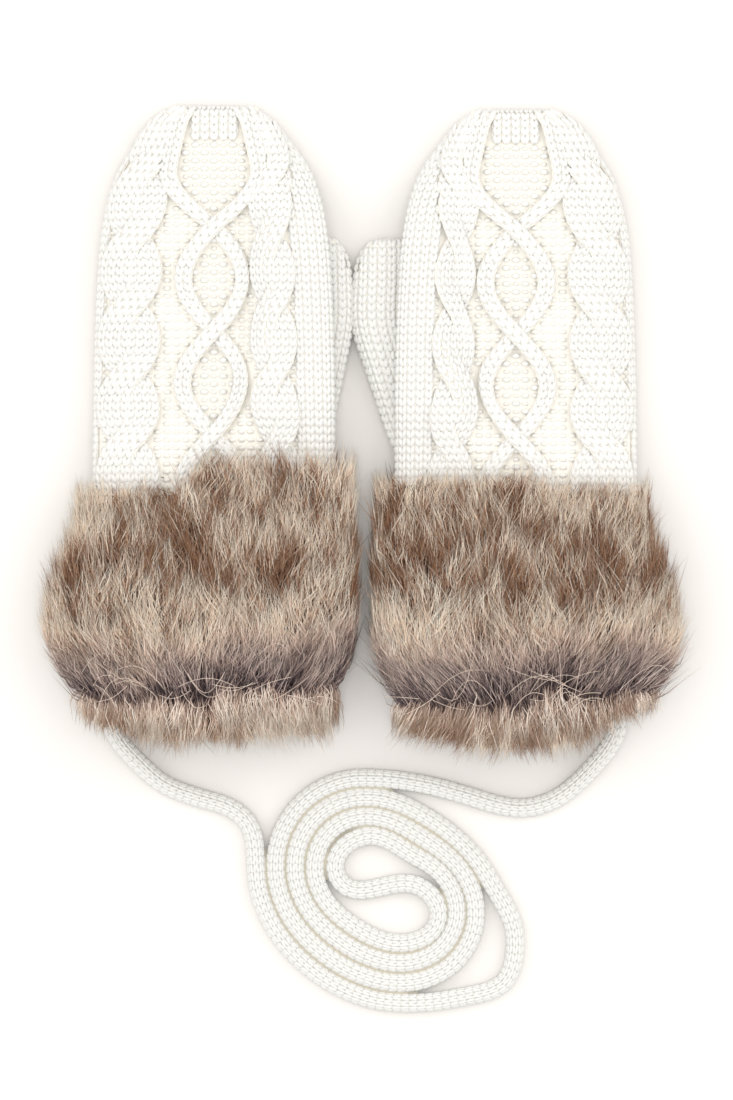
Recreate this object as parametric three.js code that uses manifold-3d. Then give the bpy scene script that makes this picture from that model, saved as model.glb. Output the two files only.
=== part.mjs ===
// A pair of cable-knitted mittens with fur cuffs, sewn to the two ends of one knitted cord.
// Millimetres, +Z up. The pair lies on the plane Z = 0 with the backs of the hands up and the
// fingertips towards +Y, and the origin is under the middle of the pair. Each mitten is shaped
// in its own frame, with the middle of its hem at the origin, the fingertips along +Y and the
// thumb towards +X. The right mitten is the mirror image, with a thumb that reaches further out.

import * as THREE from "three";
import Module from "manifold-3d";

// Knitted hand
const handWidth = 104;
const handThickness = 23;
const handWall = 3.4;
const handTip = 274;
const sleeveEnd = 85;
const tipTaper = 123;
const fullness = 2.6;
const pressedFlat = 0.6;

// Raised cables on the back of the hand
const cableWidth = 7.5;
const cableRise = 1.8;
const cableSink = 1.6;
const cableStart = 117;
const latticeSwing = 16;
const latticePitch = 46;
const latticeCrossing = 176;
const ropeSwing = 6.2;
const ropePitch = 30;
const ropeCrossing = 157;
const thumbSideRope = 28.5;
const outerSideRope = -37.5;

// Thumb, which lies flat and partly under the hand
const thumbWidth = 34;
const thumbThickness = 15;
const thumbWall = 2.6;
const thumbRoot = 112;
const thumbTip = 219;
const thumbRootSide = 28;
const leftThumbSide = 43.2;
const rightThumbSide = 54.2;
const liftBlend = 16;

// Fur cuff: a fabric backing that carries locks of fur on its outside
const cuffLength = 112;
const cuffWall = 2.4;
const cuffFlare = 5.4;
const cuffPuff = 3;
const cuffLean = -5;
const furPile = 10.5;
const furUnder = 2.8;
const thumbSidePile = 8.5;
const partingHeight = 20;
const locksAround = 20;
const tiersUp = 4;
const tiersDown = 2;
const topOverhang = 9;
const hemOverhang = 9;
const lockNotch = 6;

// Cord, and the flat coil that it lies in
const cordDiameter = 8.2;
const coilX = 10.1;
const coilY = -199.5;
const coilRadius = 50.2;
const coilOval = 5.3;
const coilOvalTurn = 39;
const coilShift = 3.2;
const coilShiftTurn = 236;
const coilPitch = 17.6;
const coilSlack = 14.5;
const coilSlackTurn = 325.5;
const coilSlackSpan = 22;

// Clearance between pieces that touch, and where the two mittens lie
const fit = 0.3;
const mittenSpacing = 132.4;
const mittenStagger = 0.8;

// Shares of the hand's width and thickness, by share of the taper's length from the tip
const handTaper = [
  { along: 0, width: 0.3, depth: 0.35 },
  { along: 0.04, width: 0.47, depth: 0.55 },
  { along: 0.106, width: 0.6, depth: 0.72 },
  { along: 0.211, width: 0.78, depth: 0.86 },
  { along: 0.325, width: 0.88, depth: 0.94 },
  { along: 0.463, width: 0.94, depth: 0.98 },
  { along: 0.642, width: 0.973, depth: 1 },
  { along: 0.82, width: 0.99, depth: 1 },
  { along: 1, width: 1, depth: 1 },
];

// The thumb by share of its length from root to tip: how far it has come sideways and down,
// and shares of its width and thickness
const thumbCourse = [
  { along: 0, side: 0, up: 1, width: 1.04, depth: 1 },
  { along: 0.1, side: 0.2, up: 0.62, width: 1.04, depth: 1 },
  { along: 0.2, side: 0.4, up: 0.2, width: 1.02, depth: 1 },
  { along: 0.32, side: 0.58, up: 0, width: 1, depth: 1 },
  { along: 0.48, side: 0.8, up: 0, width: 1, depth: 1 },
  { along: 0.64, side: 1, up: 0, width: 1, depth: 1 },
  { along: 0.84, side: 1, up: 0, width: 0.95, depth: 0.97 },
  { along: 0.93, side: 1, up: 0, width: 0.8, depth: 0.86 },
  { along: 0.98, side: 1, up: 0, width: 0.54, depth: 0.62 },
  { along: 1, side: 1, up: 0, width: 0.3, depth: 0.36 },
];

// The cuff by share of the length from its hem to the sleeve's end, where it closes round the
// sleeve: shares of the flare, of the puff and of the lean away from the thumb
const cuffCourse = [
  { along: 0, flare: -0.1, puff: 0.2, lean: 1 },
  { along: 0.235, flare: 0.8, puff: 0.75, lean: 0.95 },
  { along: 0.47, flare: 1, puff: 1, lean: 0.8 },
  { along: 0.76, flare: 0.6, puff: 0.6, lean: 0.35 },
  { along: 1, flare: 0, puff: 0, lean: 0 },
];

// One tier of fur from root to tip: share of the tier's length and of the pile on the middle of
// a lock and in the furrow between two locks
const lockRows = [
  { along: 0.02, ridge: 0.42, furrow: 0.36 },
  { along: 0.45, ridge: 1, furrow: 0.7 },
  { along: 1, ridge: 0.86, furrow: 0.56 },
];

// Where the cord runs between a cuff and the coil, from inside the cuff outwards
const leftRun = [
  [-107, -106, 13.3],
  [-109.5, -118, 13.3],
  [-111.2, -127.5, 13.2],
  [-108.5, -135, 11.6],
  [-99.5, -145.5, 8.3],
  [-88.5, -155.2, 4.7],
  [-74, -160.8, 4.1],
  [-60.7, -164.8, 4.1],
  [-52.3, -170.8, 4.1],
  [-48.9, -179, 4.1],
  [-48.2, -188.5, 4.1],
  [-47.9, -198.5, 4.1],
];
const rightRun = [
  [107, -106, 13.3],
  [109.5, -118, 13.3],
  [111.2, -128.5, 13.2],
  [108.5, -136.5, 11.6],
  [102, -145.5, 8.4],
  [92, -156, 4.7],
  [82, -162.6, 4.1],
  [70, -165.6, 4.1],
  [59.4, -164.3, 4.1],
  [46.2, -160.4, 4.1],
  [28.6, -155.6, 4.1],
  [11, -153.1, 4.1],
];

const cuffLift = furUnder + cuffWall + fit;
const thumbEnds = { x: thumbRootSide, z: cuffLift + handThickness / 2 };
const hemLine = (hemOverhang - handTip) / 2;

const mix = THREE.MathUtils.lerp;
const smooth = (share) => THREE.MathUtils.smoothstep(share, 0, 1);
const steps = (from, to, count) =>
  Array.from({ length: count + 1 }, (_, k) => mix(from, to, k / count));

// Value of one column of a table at a share of its length
function at(table, along, column) {
  const next = table.findIndex((row) => row.along >= along);
  if (next === 0) return table[0][column];
  if (next < 0) return table.at(-1)[column];
  const [a, b] = [table[next - 1], table[next]];
  return mix(a[column], b[column], (along - a.along) / (b.along - a.along));
}

// Boolean solids

const wasm = await Module();
wasm.setup();

// Points and triangles of a body through a row of rings with equally many points. An open row
// is closed by a fan on its first and last ring, and a looped row joins its last ring to its
// first one.
function skin(rings, looped = false) {
  const count = rings[0].length;
  const points = rings.flat();
  const triangles = [];
  const rows = looped ? rings.length : rings.length - 1;
  for (let i = 0; i < rows; i += 1) {
    const here = i * count;
    const there = ((i + 1) % rings.length) * count;
    for (let j = 0; j < count; j += 1) {
      const k = (j + 1) % count;
      triangles.push([here + j, here + k, there + k], [here + j, there + k, there + j]);
    }
  }
  if (!looped) {
    const addFan = (ring, start, outward) => {
      const middle = new THREE.Vector3();
      for (const point of ring) middle.addScaledVector(point, 1 / count);
      const hub = points.push(middle) - 1;
      for (let j = 0; j < count; j += 1) {
        const pair = [start + j, start + ((j + 1) % count)];
        triangles.push(outward ? [hub, ...pair] : [hub, ...pair.reverse()]);
      }
    };
    addFan(rings.at(-1), (rings.length - 1) * count, true);
    addFan(rings[0], 0, false);
  }
  return { points, triangles };
}

function solidOf({ points, triangles }) {
  const build = (corners) =>
    new wasm.Manifold(new wasm.Mesh({
      numProp: 3,
      vertProperties: Float32Array.from(points.flatMap((p) => [p.x, p.y, p.z])),
      triVerts: Uint32Array.from(corners.flat()),
    }));
  const solid = build(triangles);
  return solid.volume() > 0 ? solid : build(triangles.map((corners) => corners.toReversed()));
}

const largest = (solid) =>
  solid.decompose().reduce((best, body) => (body.volume() > best.volume() ? body : best));

function geometryOf(solid) {
  const mesh = solid.getMesh();
  const geometry = new THREE.BufferGeometry();
  const positions = new Float32Array(mesh.numVert * 3);
  for (let i = 0; i < mesh.numVert; i += 1) {
    for (let k = 0; k < 3; k += 1) {
      positions[3 * i + k] = mesh.vertProperties[mesh.numProp * i + k];
    }
  }
  geometry.setAttribute("position", new THREE.BufferAttribute(positions, 3));
  geometry.setIndex(Array.from(mesh.triVerts));
  return geometry;
}

// A rounded-box section across Y. It never reaches below the surface that the mitten lies on.
function ring(y, section, count) {
  return Array.from({ length: count }, (_, j) => {
    const angle = (2 * Math.PI * j) / count;
    const [cos, sin] = [Math.cos(angle), Math.sin(angle)];
    const round = (value) => Math.sign(value) * Math.abs(value) ** (2 / fullness);
    const x = section.x + section.halfWidth * round(cos);
    const z = section.z + section.halfDepth * round(sin);
    return new THREE.Vector3(x, y, Math.max(z, 0));
  });
}

// Height of the hand's underside: level in the cuff, and down on the surface beyond it
const handRise = (y) => cuffLift * (1 - smooth((y - cuffLength) / (tipTaper / 3)));

function handSection(y, grow) {
  const along = (handTip - y) / tipTaper;
  return {
    x: 0,
    z: handRise(y) + handThickness / 2 - pressedFlat * smooth((y - cuffLength) / liftBlend),
    halfWidth: at(handTaper, along, "width") * handWidth / 2 + grow,
    halfDepth: at(handTaper, along, "depth") * handThickness / 2 + grow,
  };
}

function thumbSection(y, reach, grow) {
  const along = (y - thumbRoot) / (thumbTip - thumbRoot);
  const rest = thumbThickness / 2 - pressedFlat;
  return {
    x: mix(thumbEnds.x, reach, at(thumbCourse, along, "side")),
    z: mix(rest, thumbEnds.z, at(thumbCourse, along, "up")),
    halfWidth: at(thumbCourse, along, "width") * thumbWidth / 2 + grow,
    halfDepth: at(thumbCourse, along, "depth") * thumbThickness / 2 + grow,
  };
}

// The hand bends up where the thumb lies under it, and gets thinner there
function liftOverThumb(point, reach) {
  const thumb = thumbSection(Math.min(point.y, thumbTip - liftBlend), reach, 0);
  const edge = thumb.x - thumb.halfWidth - liftBlend;
  const across = smooth((point.x - edge) / liftBlend);
  const rise = smooth((point.y - thumbRoot - liftBlend / 3) / (2 * liftBlend));
  const fall = smooth((thumbTip + 2 * liftBlend - point.y) / (2 * liftBlend));
  const height = (point.z - handRise(point.y)) / handThickness;
  const under = thumbThickness - pressedFlat + 2 * fit;
  point.z += across * rise * fall * mix(under, thumbThickness / 2, height);
  return point;
}

// Knitted hand

const taperStations = handTaper.map((row) => handTip - row.along * tipTaper).reverse();
const sleeveStations = steps(sleeveEnd, cuffLength, 2);
const palmStations = steps(cuffLength, handTip - tipTaper, 4).slice(1, -1);

function handSkin(stations, grow, count, reach) {
  const rings = stations.map((y) =>
    ring(y, handSection(y, grow), count).map((point) => liftOverThumb(point, reach)));
  return solidOf(skin(rings));
}

function handOuter(grow, reach) {
  return handSkin([...sleeveStations, ...palmStations, ...taperStations], grow, 20, reach);
}

function handInner(reach) {
  const open = sleeveEnd - handWall;
  const body = [...sleeveStations.slice(1), ...palmStations, ...taperStations.slice(0, -2)];
  const stations = [open, ...body, handTip - 2 * handWall].sort((a, b) => a - b);
  return handSkin(stations, -handWall, 14, reach);
}

function backHeight(x, y) {
  const section = handSection(y, 0);
  const share = Math.min(Math.abs(x) / section.halfWidth, 1);
  return section.z + section.halfDepth * (1 - share ** fullness) ** (1 / fullness);
}

// One raised strand along the back of the hand. Its course gives x and the rise by y.
function strand(course, end, count, reach) {
  const rings = steps(cableStart, end, count).map((y) => {
    const { x, rise } = course(y);
    const slope = (course(y + 1).x - course(y - 1).x) / 2;
    const side = new THREE.Vector2(1, -slope).normalize().multiplyScalar(cableWidth / 2);
    const top = backHeight(x, y);
    const low = (share) => backHeight(x + share * side.x, y + share * side.y) - fit;
    return [
      new THREE.Vector3(x + side.x, y + side.y, low(1)),
      new THREE.Vector3(x, y, top + rise),
      new THREE.Vector3(x - side.x, y - side.y, low(-1)),
      new THREE.Vector3(x, y, top - cableSink),
    ].map((point) => liftOverThumb(point, reach));
  });
  return solidOf(skin(rings));
}

// Places across the hand draw together as the hand narrows
const narrowed = (x, y) => x * handSection(y, 0).halfWidth / (handWidth / 2);

function latticeStrand(side, reach) {
  const course = (y) => {
    const phase = Math.PI * (y - latticeCrossing) / latticePitch;
    return {
      x: narrowed(side * latticeSwing * Math.sin(phase), y),
      rise: cableRise * (1 + 0.2 * side * Math.cos(phase)),
    };
  };
  return strand(course, handTip - tipTaper * 0.12, 16, reach);
}

function ropeStrand(centre, side, reach) {
  const course = (y) => {
    const phase = Math.PI * (y - ropeCrossing) / ropePitch;
    return {
      x: narrowed(centre + side * ropeSwing * Math.sin(phase), y),
      rise: cableRise * (1 + 0.2 * side * Math.cos(phase)),
    };
  };
  return strand(course, handTip - tipTaper * 0.24, 14, reach);
}

function hand(reach) {
  const strands = [1, -1].flatMap((side) => [
    latticeStrand(side, reach),
    ropeStrand(thumbSideRope, side, reach),
    ropeStrand(outerSideRope, side, reach),
  ]);
  const knit = strands.reduce((body, cable) => body.add(cable), handOuter(0, reach));
  return geometryOf(largest(knit.subtract(handInner(reach)).subtract(thumbInner(reach))));
}

// Thumb

const thumbStations = (end) =>
  thumbCourse.map((row) => mix(thumbRoot, end, row.along));

function thumbSkin(stations, grow, count, reach) {
  return solidOf(skin(stations.map((y) => ring(y, thumbSection(y, reach, grow), count))));
}

function thumbInner(reach) {
  const stations = thumbStations(thumbTip).slice(0, -2);
  return thumbSkin([...stations, thumbTip - 1.5 * thumbWall], -thumbWall, 10, reach);
}

function thumb(reach) {
  const shell = thumbSkin(thumbStations(thumbTip), 0, 14, reach).subtract(thumbInner(reach));
  return geometryOf(largest(shell.subtract(handOuter(fit, reach))));
}

// Fur cuff

function cuffSection(y) {
  const along = THREE.MathUtils.clamp(y / sleeveEnd, 0, 1);
  const halfDepth = handThickness / 2 + fit + cuffPuff * at(cuffCourse, along, "puff");
  return {
    x: cuffLean * at(cuffCourse, along, "lean"),
    z: furUnder + cuffWall + halfDepth,
    halfWidth: handWidth / 2 + fit + cuffFlare * at(cuffCourse, along, "flare"),
    halfDepth,
  };
}

// A ring round the backing, at a height over its inside that may change around it
function cuffRing(height, along) {
  const count = 2 * locksAround;
  return Array.from({ length: count }, (_, j) => {
    const angle = (2 * Math.PI * j) / count;
    const y = along(j);
    const over = height(j);
    const section = cuffSection(y);
    const round = (value) => Math.sign(value) * Math.abs(value) ** (2 / fullness);
    const [cos, sin] = [round(Math.cos(angle)), round(Math.sin(angle))];
    const side = cos > 0 ? over.thumbSide : over.outerSide;
    const upright = sin > 0 ? over.top : over.under;
    return new THREE.Vector3(
      section.x + (section.halfWidth + side) * cos,
      y,
      Math.max(section.z + (section.halfDepth + upright) * sin, 0),
    );
  });
}

const backing = (share) => {
  const over = share * cuffWall;
  return () => ({ thumbSide: over, outerSide: over, top: over, under: over });
};

const fur = (share) => ({
  thumbSide: cuffWall + share * thumbSidePile,
  outerSide: cuffWall + share * furPile,
  top: cuffWall + share * furPile,
  under: cuffWall + share * furUnder,
});

// Rings of one tier of locks that grow from y = root and end at y = tip. The locks of every
// other tier are half a lock round, so that they cover the furrows before them.
function tier(root, tip, index) {
  const onRidge = (j) => (j + index) % 2 === 0;
  const notch = Math.sign(tip - root) * lockNotch;
  return lockRows.map((row) => {
    const along = (j) => {
      const start = root - (onRidge(j) ? notch : 0) * (index > 0 ? 1 : 0);
      const end = tip - (onRidge(j) ? 0 : notch);
      return mix(start, end, row.along);
    };
    return cuffRing((j) => fur(onRidge(j) ? row.ridge : row.furrow), along);
  });
}

function tiers(count, from, to) {
  const edges = steps(from, to, count);
  return edges.slice(1).flatMap((tip, index) => tier(edges[index], tip, index));
}

function cuff() {
  const inside = [0, 0.235, 0.47, 0.76, 1].map((share) => share * sleeveEnd);
  const liner = [...inside, ...sleeveStations.slice(1)];
  const flat = (y) => () => y;
  const up = tiers(tiersUp, partingHeight, cuffLength + topOverhang);
  const down = tiers(tiersDown, partingHeight, -hemOverhang);
  return geometryOf(solidOf(skin([
    ...liner.map((y) => cuffRing(backing(0), flat(y))),
    cuffRing(backing(1), flat(cuffLength)),
    ...up.reverse(),
    ...down,
    cuffRing(backing(1), flat(0)),
  ], true)));
}

// Cord

function cordRun(points) {
  const radius = cordDiameter / 2;
  const corners = Array.from({ length: 8 }, (_, k) => {
    const angle = (2 * Math.PI * (k + 0.5)) / 8;
    return new THREE.Vector2(radius * Math.cos(angle), radius * Math.sin(angle));
  });
  const route = points.map(([x, y, z]) => new THREE.Vector3(x, y, z));
  const extrudePath = new THREE.CatmullRomCurve3(route, false, "centripetal");
  return new THREE.ExtrudeGeometry(new THREE.Shape(corners), { steps: 18, extrudePath });
}

// Distance of the cord's outside from the middle of the coil. Two arms wind inwards, one from
// the top of the coil and one from its left side.
function coilEdge(degrees, turns) {
  const oval = coilOval * Math.cos(2 * THREE.MathUtils.degToRad(degrees + coilOvalTurn));
  const shift = coilShift * Math.cos(THREE.MathUtils.degToRad(degrees - coilShiftTurn));
  return coilRadius + oval + shift - coilPitch * turns + cordDiameter / 2;
}

// The arm from the left lies slack on the far side of the coil
const slack = (degrees) =>
  coilSlack * Math.exp(-(((degrees - coilSlackTurn) / coilSlackSpan) ** 2));

function coil() {
  const place = (degrees, turns, loose = 0) => {
    const angle = THREE.MathUtils.degToRad(degrees);
    const distance = coilEdge(degrees, turns) + loose;
    return new THREE.Vector2(distance * Math.cos(angle), distance * Math.sin(angle));
  };
  const rightArm = steps(90, 179.5, 8).map((angle) => place(angle, (angle - 90) / 360));
  const leftArm = steps(180.5, 449.5, 24).map((angle) =>
    place(angle, (angle - 270) / 360, slack(angle)),
  );
  const bevel = cordDiameter * 0.15;
  const geometry = new THREE.ExtrudeGeometry(new THREE.Shape([...rightArm, ...leftArm]), {
    depth: cordDiameter - 2 * bevel,
    bevelThickness: bevel,
    bevelSize: bevel,
    bevelOffset: -bevel,
    bevelSegments: 1,
  });
  return geometry.translate(coilX, coilY, bevel);
}

// Assembly

const knitWool = { color: 0xf2f0ec, roughness: 0.95, metalness: 0 };
const brownFur = { color: 0x8b7766, roughness: 1, metalness: 0 };

function piece(name, geometry, finish) {
  const mesh = new THREE.Mesh(geometry, new THREE.MeshStandardMaterial(finish));
  mesh.name = name;
  return mesh;
}

function mitten(side, reach) {
  const group = new THREE.Group();
  group.add(
    piece(`${side}_hand`, hand(reach), knitWool),
    piece(`${side}_thumb`, thumb(reach), knitWool),
    piece(`${side}_cuff`, cuff(), brownFur),
  );
  return group;
}

const left = mitten("left", leftThumbSide);
left.position.set(-mittenSpacing / 2, hemLine + mittenStagger, 0);

const right = mitten("right", rightThumbSide);
right.position.set(mittenSpacing / 2, hemLine - mittenStagger, 0);
right.scale.x = -1;

const pair = new THREE.Group();
pair.add(
  left,
  right,
  piece("cord_left", cordRun(leftRun), knitWool),
  piece("cord_right", cordRun(rightRun), knitWool),
  piece("cord_coil", coil(), knitWool),
);

export default pair;
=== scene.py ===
"""A pair of cable-knitted mittens with fur cuffs, sewn to the ends of one knitted cord.

The pair lies flat on a pale surface, seen from straight above. Shapes are worked out in
millimetres. A mitten is shaped in its own frame, with the middle of its hem at the origin, the
fingertips along +Y and the thumb towards +X, and is then laid in the row frame.
"""

import logging
import math
from collections.abc import Callable
from dataclasses import dataclass
from enum import Enum

import bmesh
import bpy
import numpy as np
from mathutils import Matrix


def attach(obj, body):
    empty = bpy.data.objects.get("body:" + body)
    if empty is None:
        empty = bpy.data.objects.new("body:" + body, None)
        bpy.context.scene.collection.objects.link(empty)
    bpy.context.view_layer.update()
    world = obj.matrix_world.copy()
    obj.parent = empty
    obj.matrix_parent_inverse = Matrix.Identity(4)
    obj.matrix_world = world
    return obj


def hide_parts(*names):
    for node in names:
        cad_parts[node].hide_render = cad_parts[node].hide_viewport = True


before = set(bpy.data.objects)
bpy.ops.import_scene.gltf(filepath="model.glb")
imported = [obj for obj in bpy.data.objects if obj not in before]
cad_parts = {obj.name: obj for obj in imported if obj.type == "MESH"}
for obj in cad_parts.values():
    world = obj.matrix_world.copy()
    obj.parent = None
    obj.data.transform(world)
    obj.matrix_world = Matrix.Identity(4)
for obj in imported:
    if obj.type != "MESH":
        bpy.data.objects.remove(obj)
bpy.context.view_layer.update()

LOG = logging.getLogger("mittens")
MM = 0.001
BODY = "root"
HEM_LINE = -132.5
HALF_SPACING = 66.2
STAGGER = 0.8


class Side(Enum):
    """Which of the two mittens. The value is the sign of its own +X in the row frame."""

    LEFT = 1
    RIGHT = -1

    @property
    def label(self) -> str:
        """Name that the mitten's pieces start with."""
        return self.name.lower()


class Flow(Enum):
    """Which way a lock of fur lies. The value is the sign of its direction along Y."""

    TO_FINGERS = 1
    TO_HEM = -1


def smooth(share: np.ndarray) -> np.ndarray:
    """Ease a share from 0 to 1 with level ends."""
    share = np.clip(share, 0.0, 1.0)
    return share * share * (3.0 - 2.0 * share)


def rise(values: np.ndarray, start: float, span: float) -> np.ndarray:
    """Ease from 0 to 1 over a span of values."""
    return smooth((values - start) / span)


def band(values: np.ndarray, middle: float, half: float) -> np.ndarray:
    """Swell from 0 to 1 and back about a middle value."""
    return np.exp(-(((values - middle) / half) ** 2))


def unit(vectors: np.ndarray) -> np.ndarray:
    """Bring vectors to a length of one."""
    return vectors / np.maximum(np.linalg.norm(vectors, axis=-1, keepdims=True), 1e-9)


def curve_between(
    t: np.ndarray, step: np.ndarray, ends: tuple, slopes: tuple
) -> np.ndarray:
    """Read a smooth curve from one knot to the next.

    Args:
        t: Shares of the way.
        step: Distances between the knots.
        ends: Values at both knots.
        slopes: Slopes at both knots.

    Returns:
        The values on the curve.
    """
    start = (2 * t**3 - 3 * t**2 + 1) * ends[0] + (t**3 - 2 * t**2 + t) * step * slopes[0]
    end = (3 * t**2 - 2 * t**3) * ends[1] + (t**3 - t**2) * step * slopes[1]
    return start + end


def read_table(rows: tuple[tuple[float, ...], ...], along: np.ndarray, column: int) -> np.ndarray:
    """Read a smooth value from a table whose first column is a share of a length.

    Args:
        rows: Table rows, with growing first values.
        along: Shares at which to read.
        column: Column to read.

    Returns:
        The values, on a curve through the rows.
    """
    table = np.array(rows)
    xs, ys = table[:, 0], table[:, column]
    slopes = np.gradient(ys, xs)
    i = np.clip(np.searchsorted(xs, along) - 1, 0, len(xs) - 2)
    step = xs[i + 1] - xs[i]
    t = np.clip((along - xs[i]) / step, 0.0, 1.0)
    return curve_between(t, step, (ys[i], ys[i + 1]), (slopes[i], slopes[i + 1]))


def to_row_frame(points: np.ndarray, side: Side) -> np.ndarray:
    """Lay points of a mitten in the row frame.

    Args:
        points: Points in the mitten's own frame, in millimetres.
        side: Which mitten.

    Returns:
        Points in the row frame, in metres.
    """
    moved = points - (HALF_SPACING, 0.0, 0.0)
    moved[..., 0] *= side.value
    moved[..., 1] += HEM_LINE + STAGGER * side.value
    return moved * MM


def mesh_object(
    name: str,
    points: np.ndarray,
    faces: np.ndarray,
    material: bpy.types.Material,
    attributes: dict[str, np.ndarray] | None = None,
    flipped: bool = False,
) -> bpy.types.Object:
    """Make an object from arrays of points and faces.

    Args:
        name: Name of the object.
        points: Points in the row frame, in metres.
        faces: Corner numbers. A triangle repeats its last corner.
        material: Its finish.
        attributes: Named values, one for each point.
        flipped: Whether to turn the faces round, as for a mirrored piece.

    Returns:
        The new object, smooth shaded and riding on the part.
    """
    corners = faces[:, ::-1] if flipped else faces
    size = np.where(faces[:, 2] == faces[:, 3], 3, 4)
    keep = np.ones(faces.shape, dtype=bool)
    keep[:, 0 if flipped else 3] = size == 4
    mesh = bpy.data.meshes.new(name)
    mesh.vertices.add(len(points))
    mesh.vertices.foreach_set("co", np.ascontiguousarray(points, dtype=np.float32).ravel())
    mesh.loops.add(int(size.sum()))
    mesh.loops.foreach_set("vertex_index", corners[keep].astype(np.int32))
    mesh.polygons.add(len(faces))
    starts = np.concatenate(([0], np.cumsum(size)[:-1])).astype(np.int32)
    mesh.polygons.foreach_set("loop_start", starts)
    mesh.update(calc_edges=True)
    mesh.shade_smooth()
    for key, values in (attributes or {}).items():
        layer = mesh.attributes.new(key, "FLOAT", "POINT")
        layer.data.foreach_set("value", np.ascontiguousarray(values, dtype=np.float32))
    mesh.materials.append(material)
    obj = bpy.data.objects.new(name, mesh)
    bpy.context.scene.collection.objects.link(obj)
    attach(obj, BODY)
    LOG.info("%s: %d faces", name, len(faces))
    return obj


def grid_faces(rows: int, columns: int, closed: bool) -> np.ndarray:
    """List the faces of a grid of points.

    Args:
        rows: Rows of points.
        columns: Points in each row.
        closed: Whether each row is a ring.

    Returns:
        Corner numbers of the faces.
    """
    j, i = np.meshgrid(np.arange(columns if closed else columns - 1), np.arange(rows - 1))
    near, far = i * columns, (i + 1) * columns
    turn = (j + 1) % columns
    return np.stack([near + j, near + turn, far + turn, far + j], axis=-1).reshape(-1, 4)


def cap_faces(first: int, columns: int, hub: int, turned: bool = False) -> np.ndarray:
    """List the faces between a ring of points and a point in its middle.

    Args:
        first: Number of the ring's first point.
        columns: Points in the ring.
        hub: Number of the middle point.
        turned: Whether the faces look the other way.

    Returns:
        Corner numbers of the faces.
    """
    turn = np.arange(columns)
    pair = (first + turn, first + (turn + 1) % columns)
    middle = np.full(columns, hub)
    return np.stack([*(pair[::-1] if turned else pair), middle, middle], axis=1)


class Cloth:
    """A sleeve of cloth, read by distance round it and place along it."""

    def __init__(
        self,
        ring: Callable[[np.ndarray, np.ndarray], np.ndarray],
        start: float,
        end: float,
        rows: int = 160,
        columns: int = 240,
    ) -> None:
        """Sample the sleeve.

        Args:
            ring: Gives the points at places along and angles round the sleeve.
            start: Lowest place along it.
            end: Highest place along it.
            rows: Rows to sample.
            columns: Points in each row.
        """
        self.start, self.end = start, end
        self.rows, self.columns = rows, columns
        places = np.linspace(start, end, rows)
        turns = np.linspace(0.0, 2.0 * math.pi, 4 * columns + 1)
        points = ring(places[:, None], math.pi / 2 - turns[None, :])
        steps = np.linalg.norm(np.diff(points, axis=1), axis=2)
        lengths = np.concatenate([np.zeros((rows, 1)), np.cumsum(steps, axis=1)], axis=1)
        self.girths = lengths[:, -1]
        shares = np.linspace(0.0, 1.0, columns + 1)
        self.points = np.empty((rows, columns + 1, 3))
        for row in range(rows):
            for axis in range(3):
                at = lengths[row] / lengths[row, -1]
                self.points[row, :, axis] = np.interp(shares, at, points[row, :, axis])

    def girth(self, y: np.ndarray) -> np.ndarray:
        """Length round the sleeve at places along it."""
        places = np.linspace(self.start, self.end, self.rows)
        return np.interp(y, places, self.girths)

    def place(self, s: np.ndarray, y: np.ndarray) -> np.ndarray:
        """Find points of the cloth.

        Args:
            s: Distances round from the middle of the top, towards the thumb.
            y: Places along.

        Returns:
            The points.
        """
        column = (s / self.girth(y)) % 1.0 * self.columns
        row = np.clip((y - self.start) / (self.end - self.start), 0.0, 1.0) * (self.rows - 1)
        i = np.minimum(row.astype(int), self.rows - 2)
        j = np.minimum(column.astype(int), self.columns - 1)
        u, v = (row - i)[..., None], (column - j)[..., None]
        near = self.points[i, j] * (1 - v) + self.points[i, j + 1] * v
        far = self.points[i + 1, j] * (1 - v) + self.points[i + 1, j + 1] * v
        return near * (1 - u) + far * u

    def normal(self, s: np.ndarray, y: np.ndarray, reach: float = 1.2) -> np.ndarray:
        """Find outward directions of the cloth, over a small reach to each side."""
        across = self.place(s + reach, y) - self.place(s - reach, y)
        low, high = np.maximum(y - reach, self.start), np.minimum(y + reach, self.end)
        share = s / self.girth(y)
        top = self.place(share * self.girth(high), high)
        along = top - self.place(share * self.girth(low), low)
        return unit(np.cross(across, along))


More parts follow.
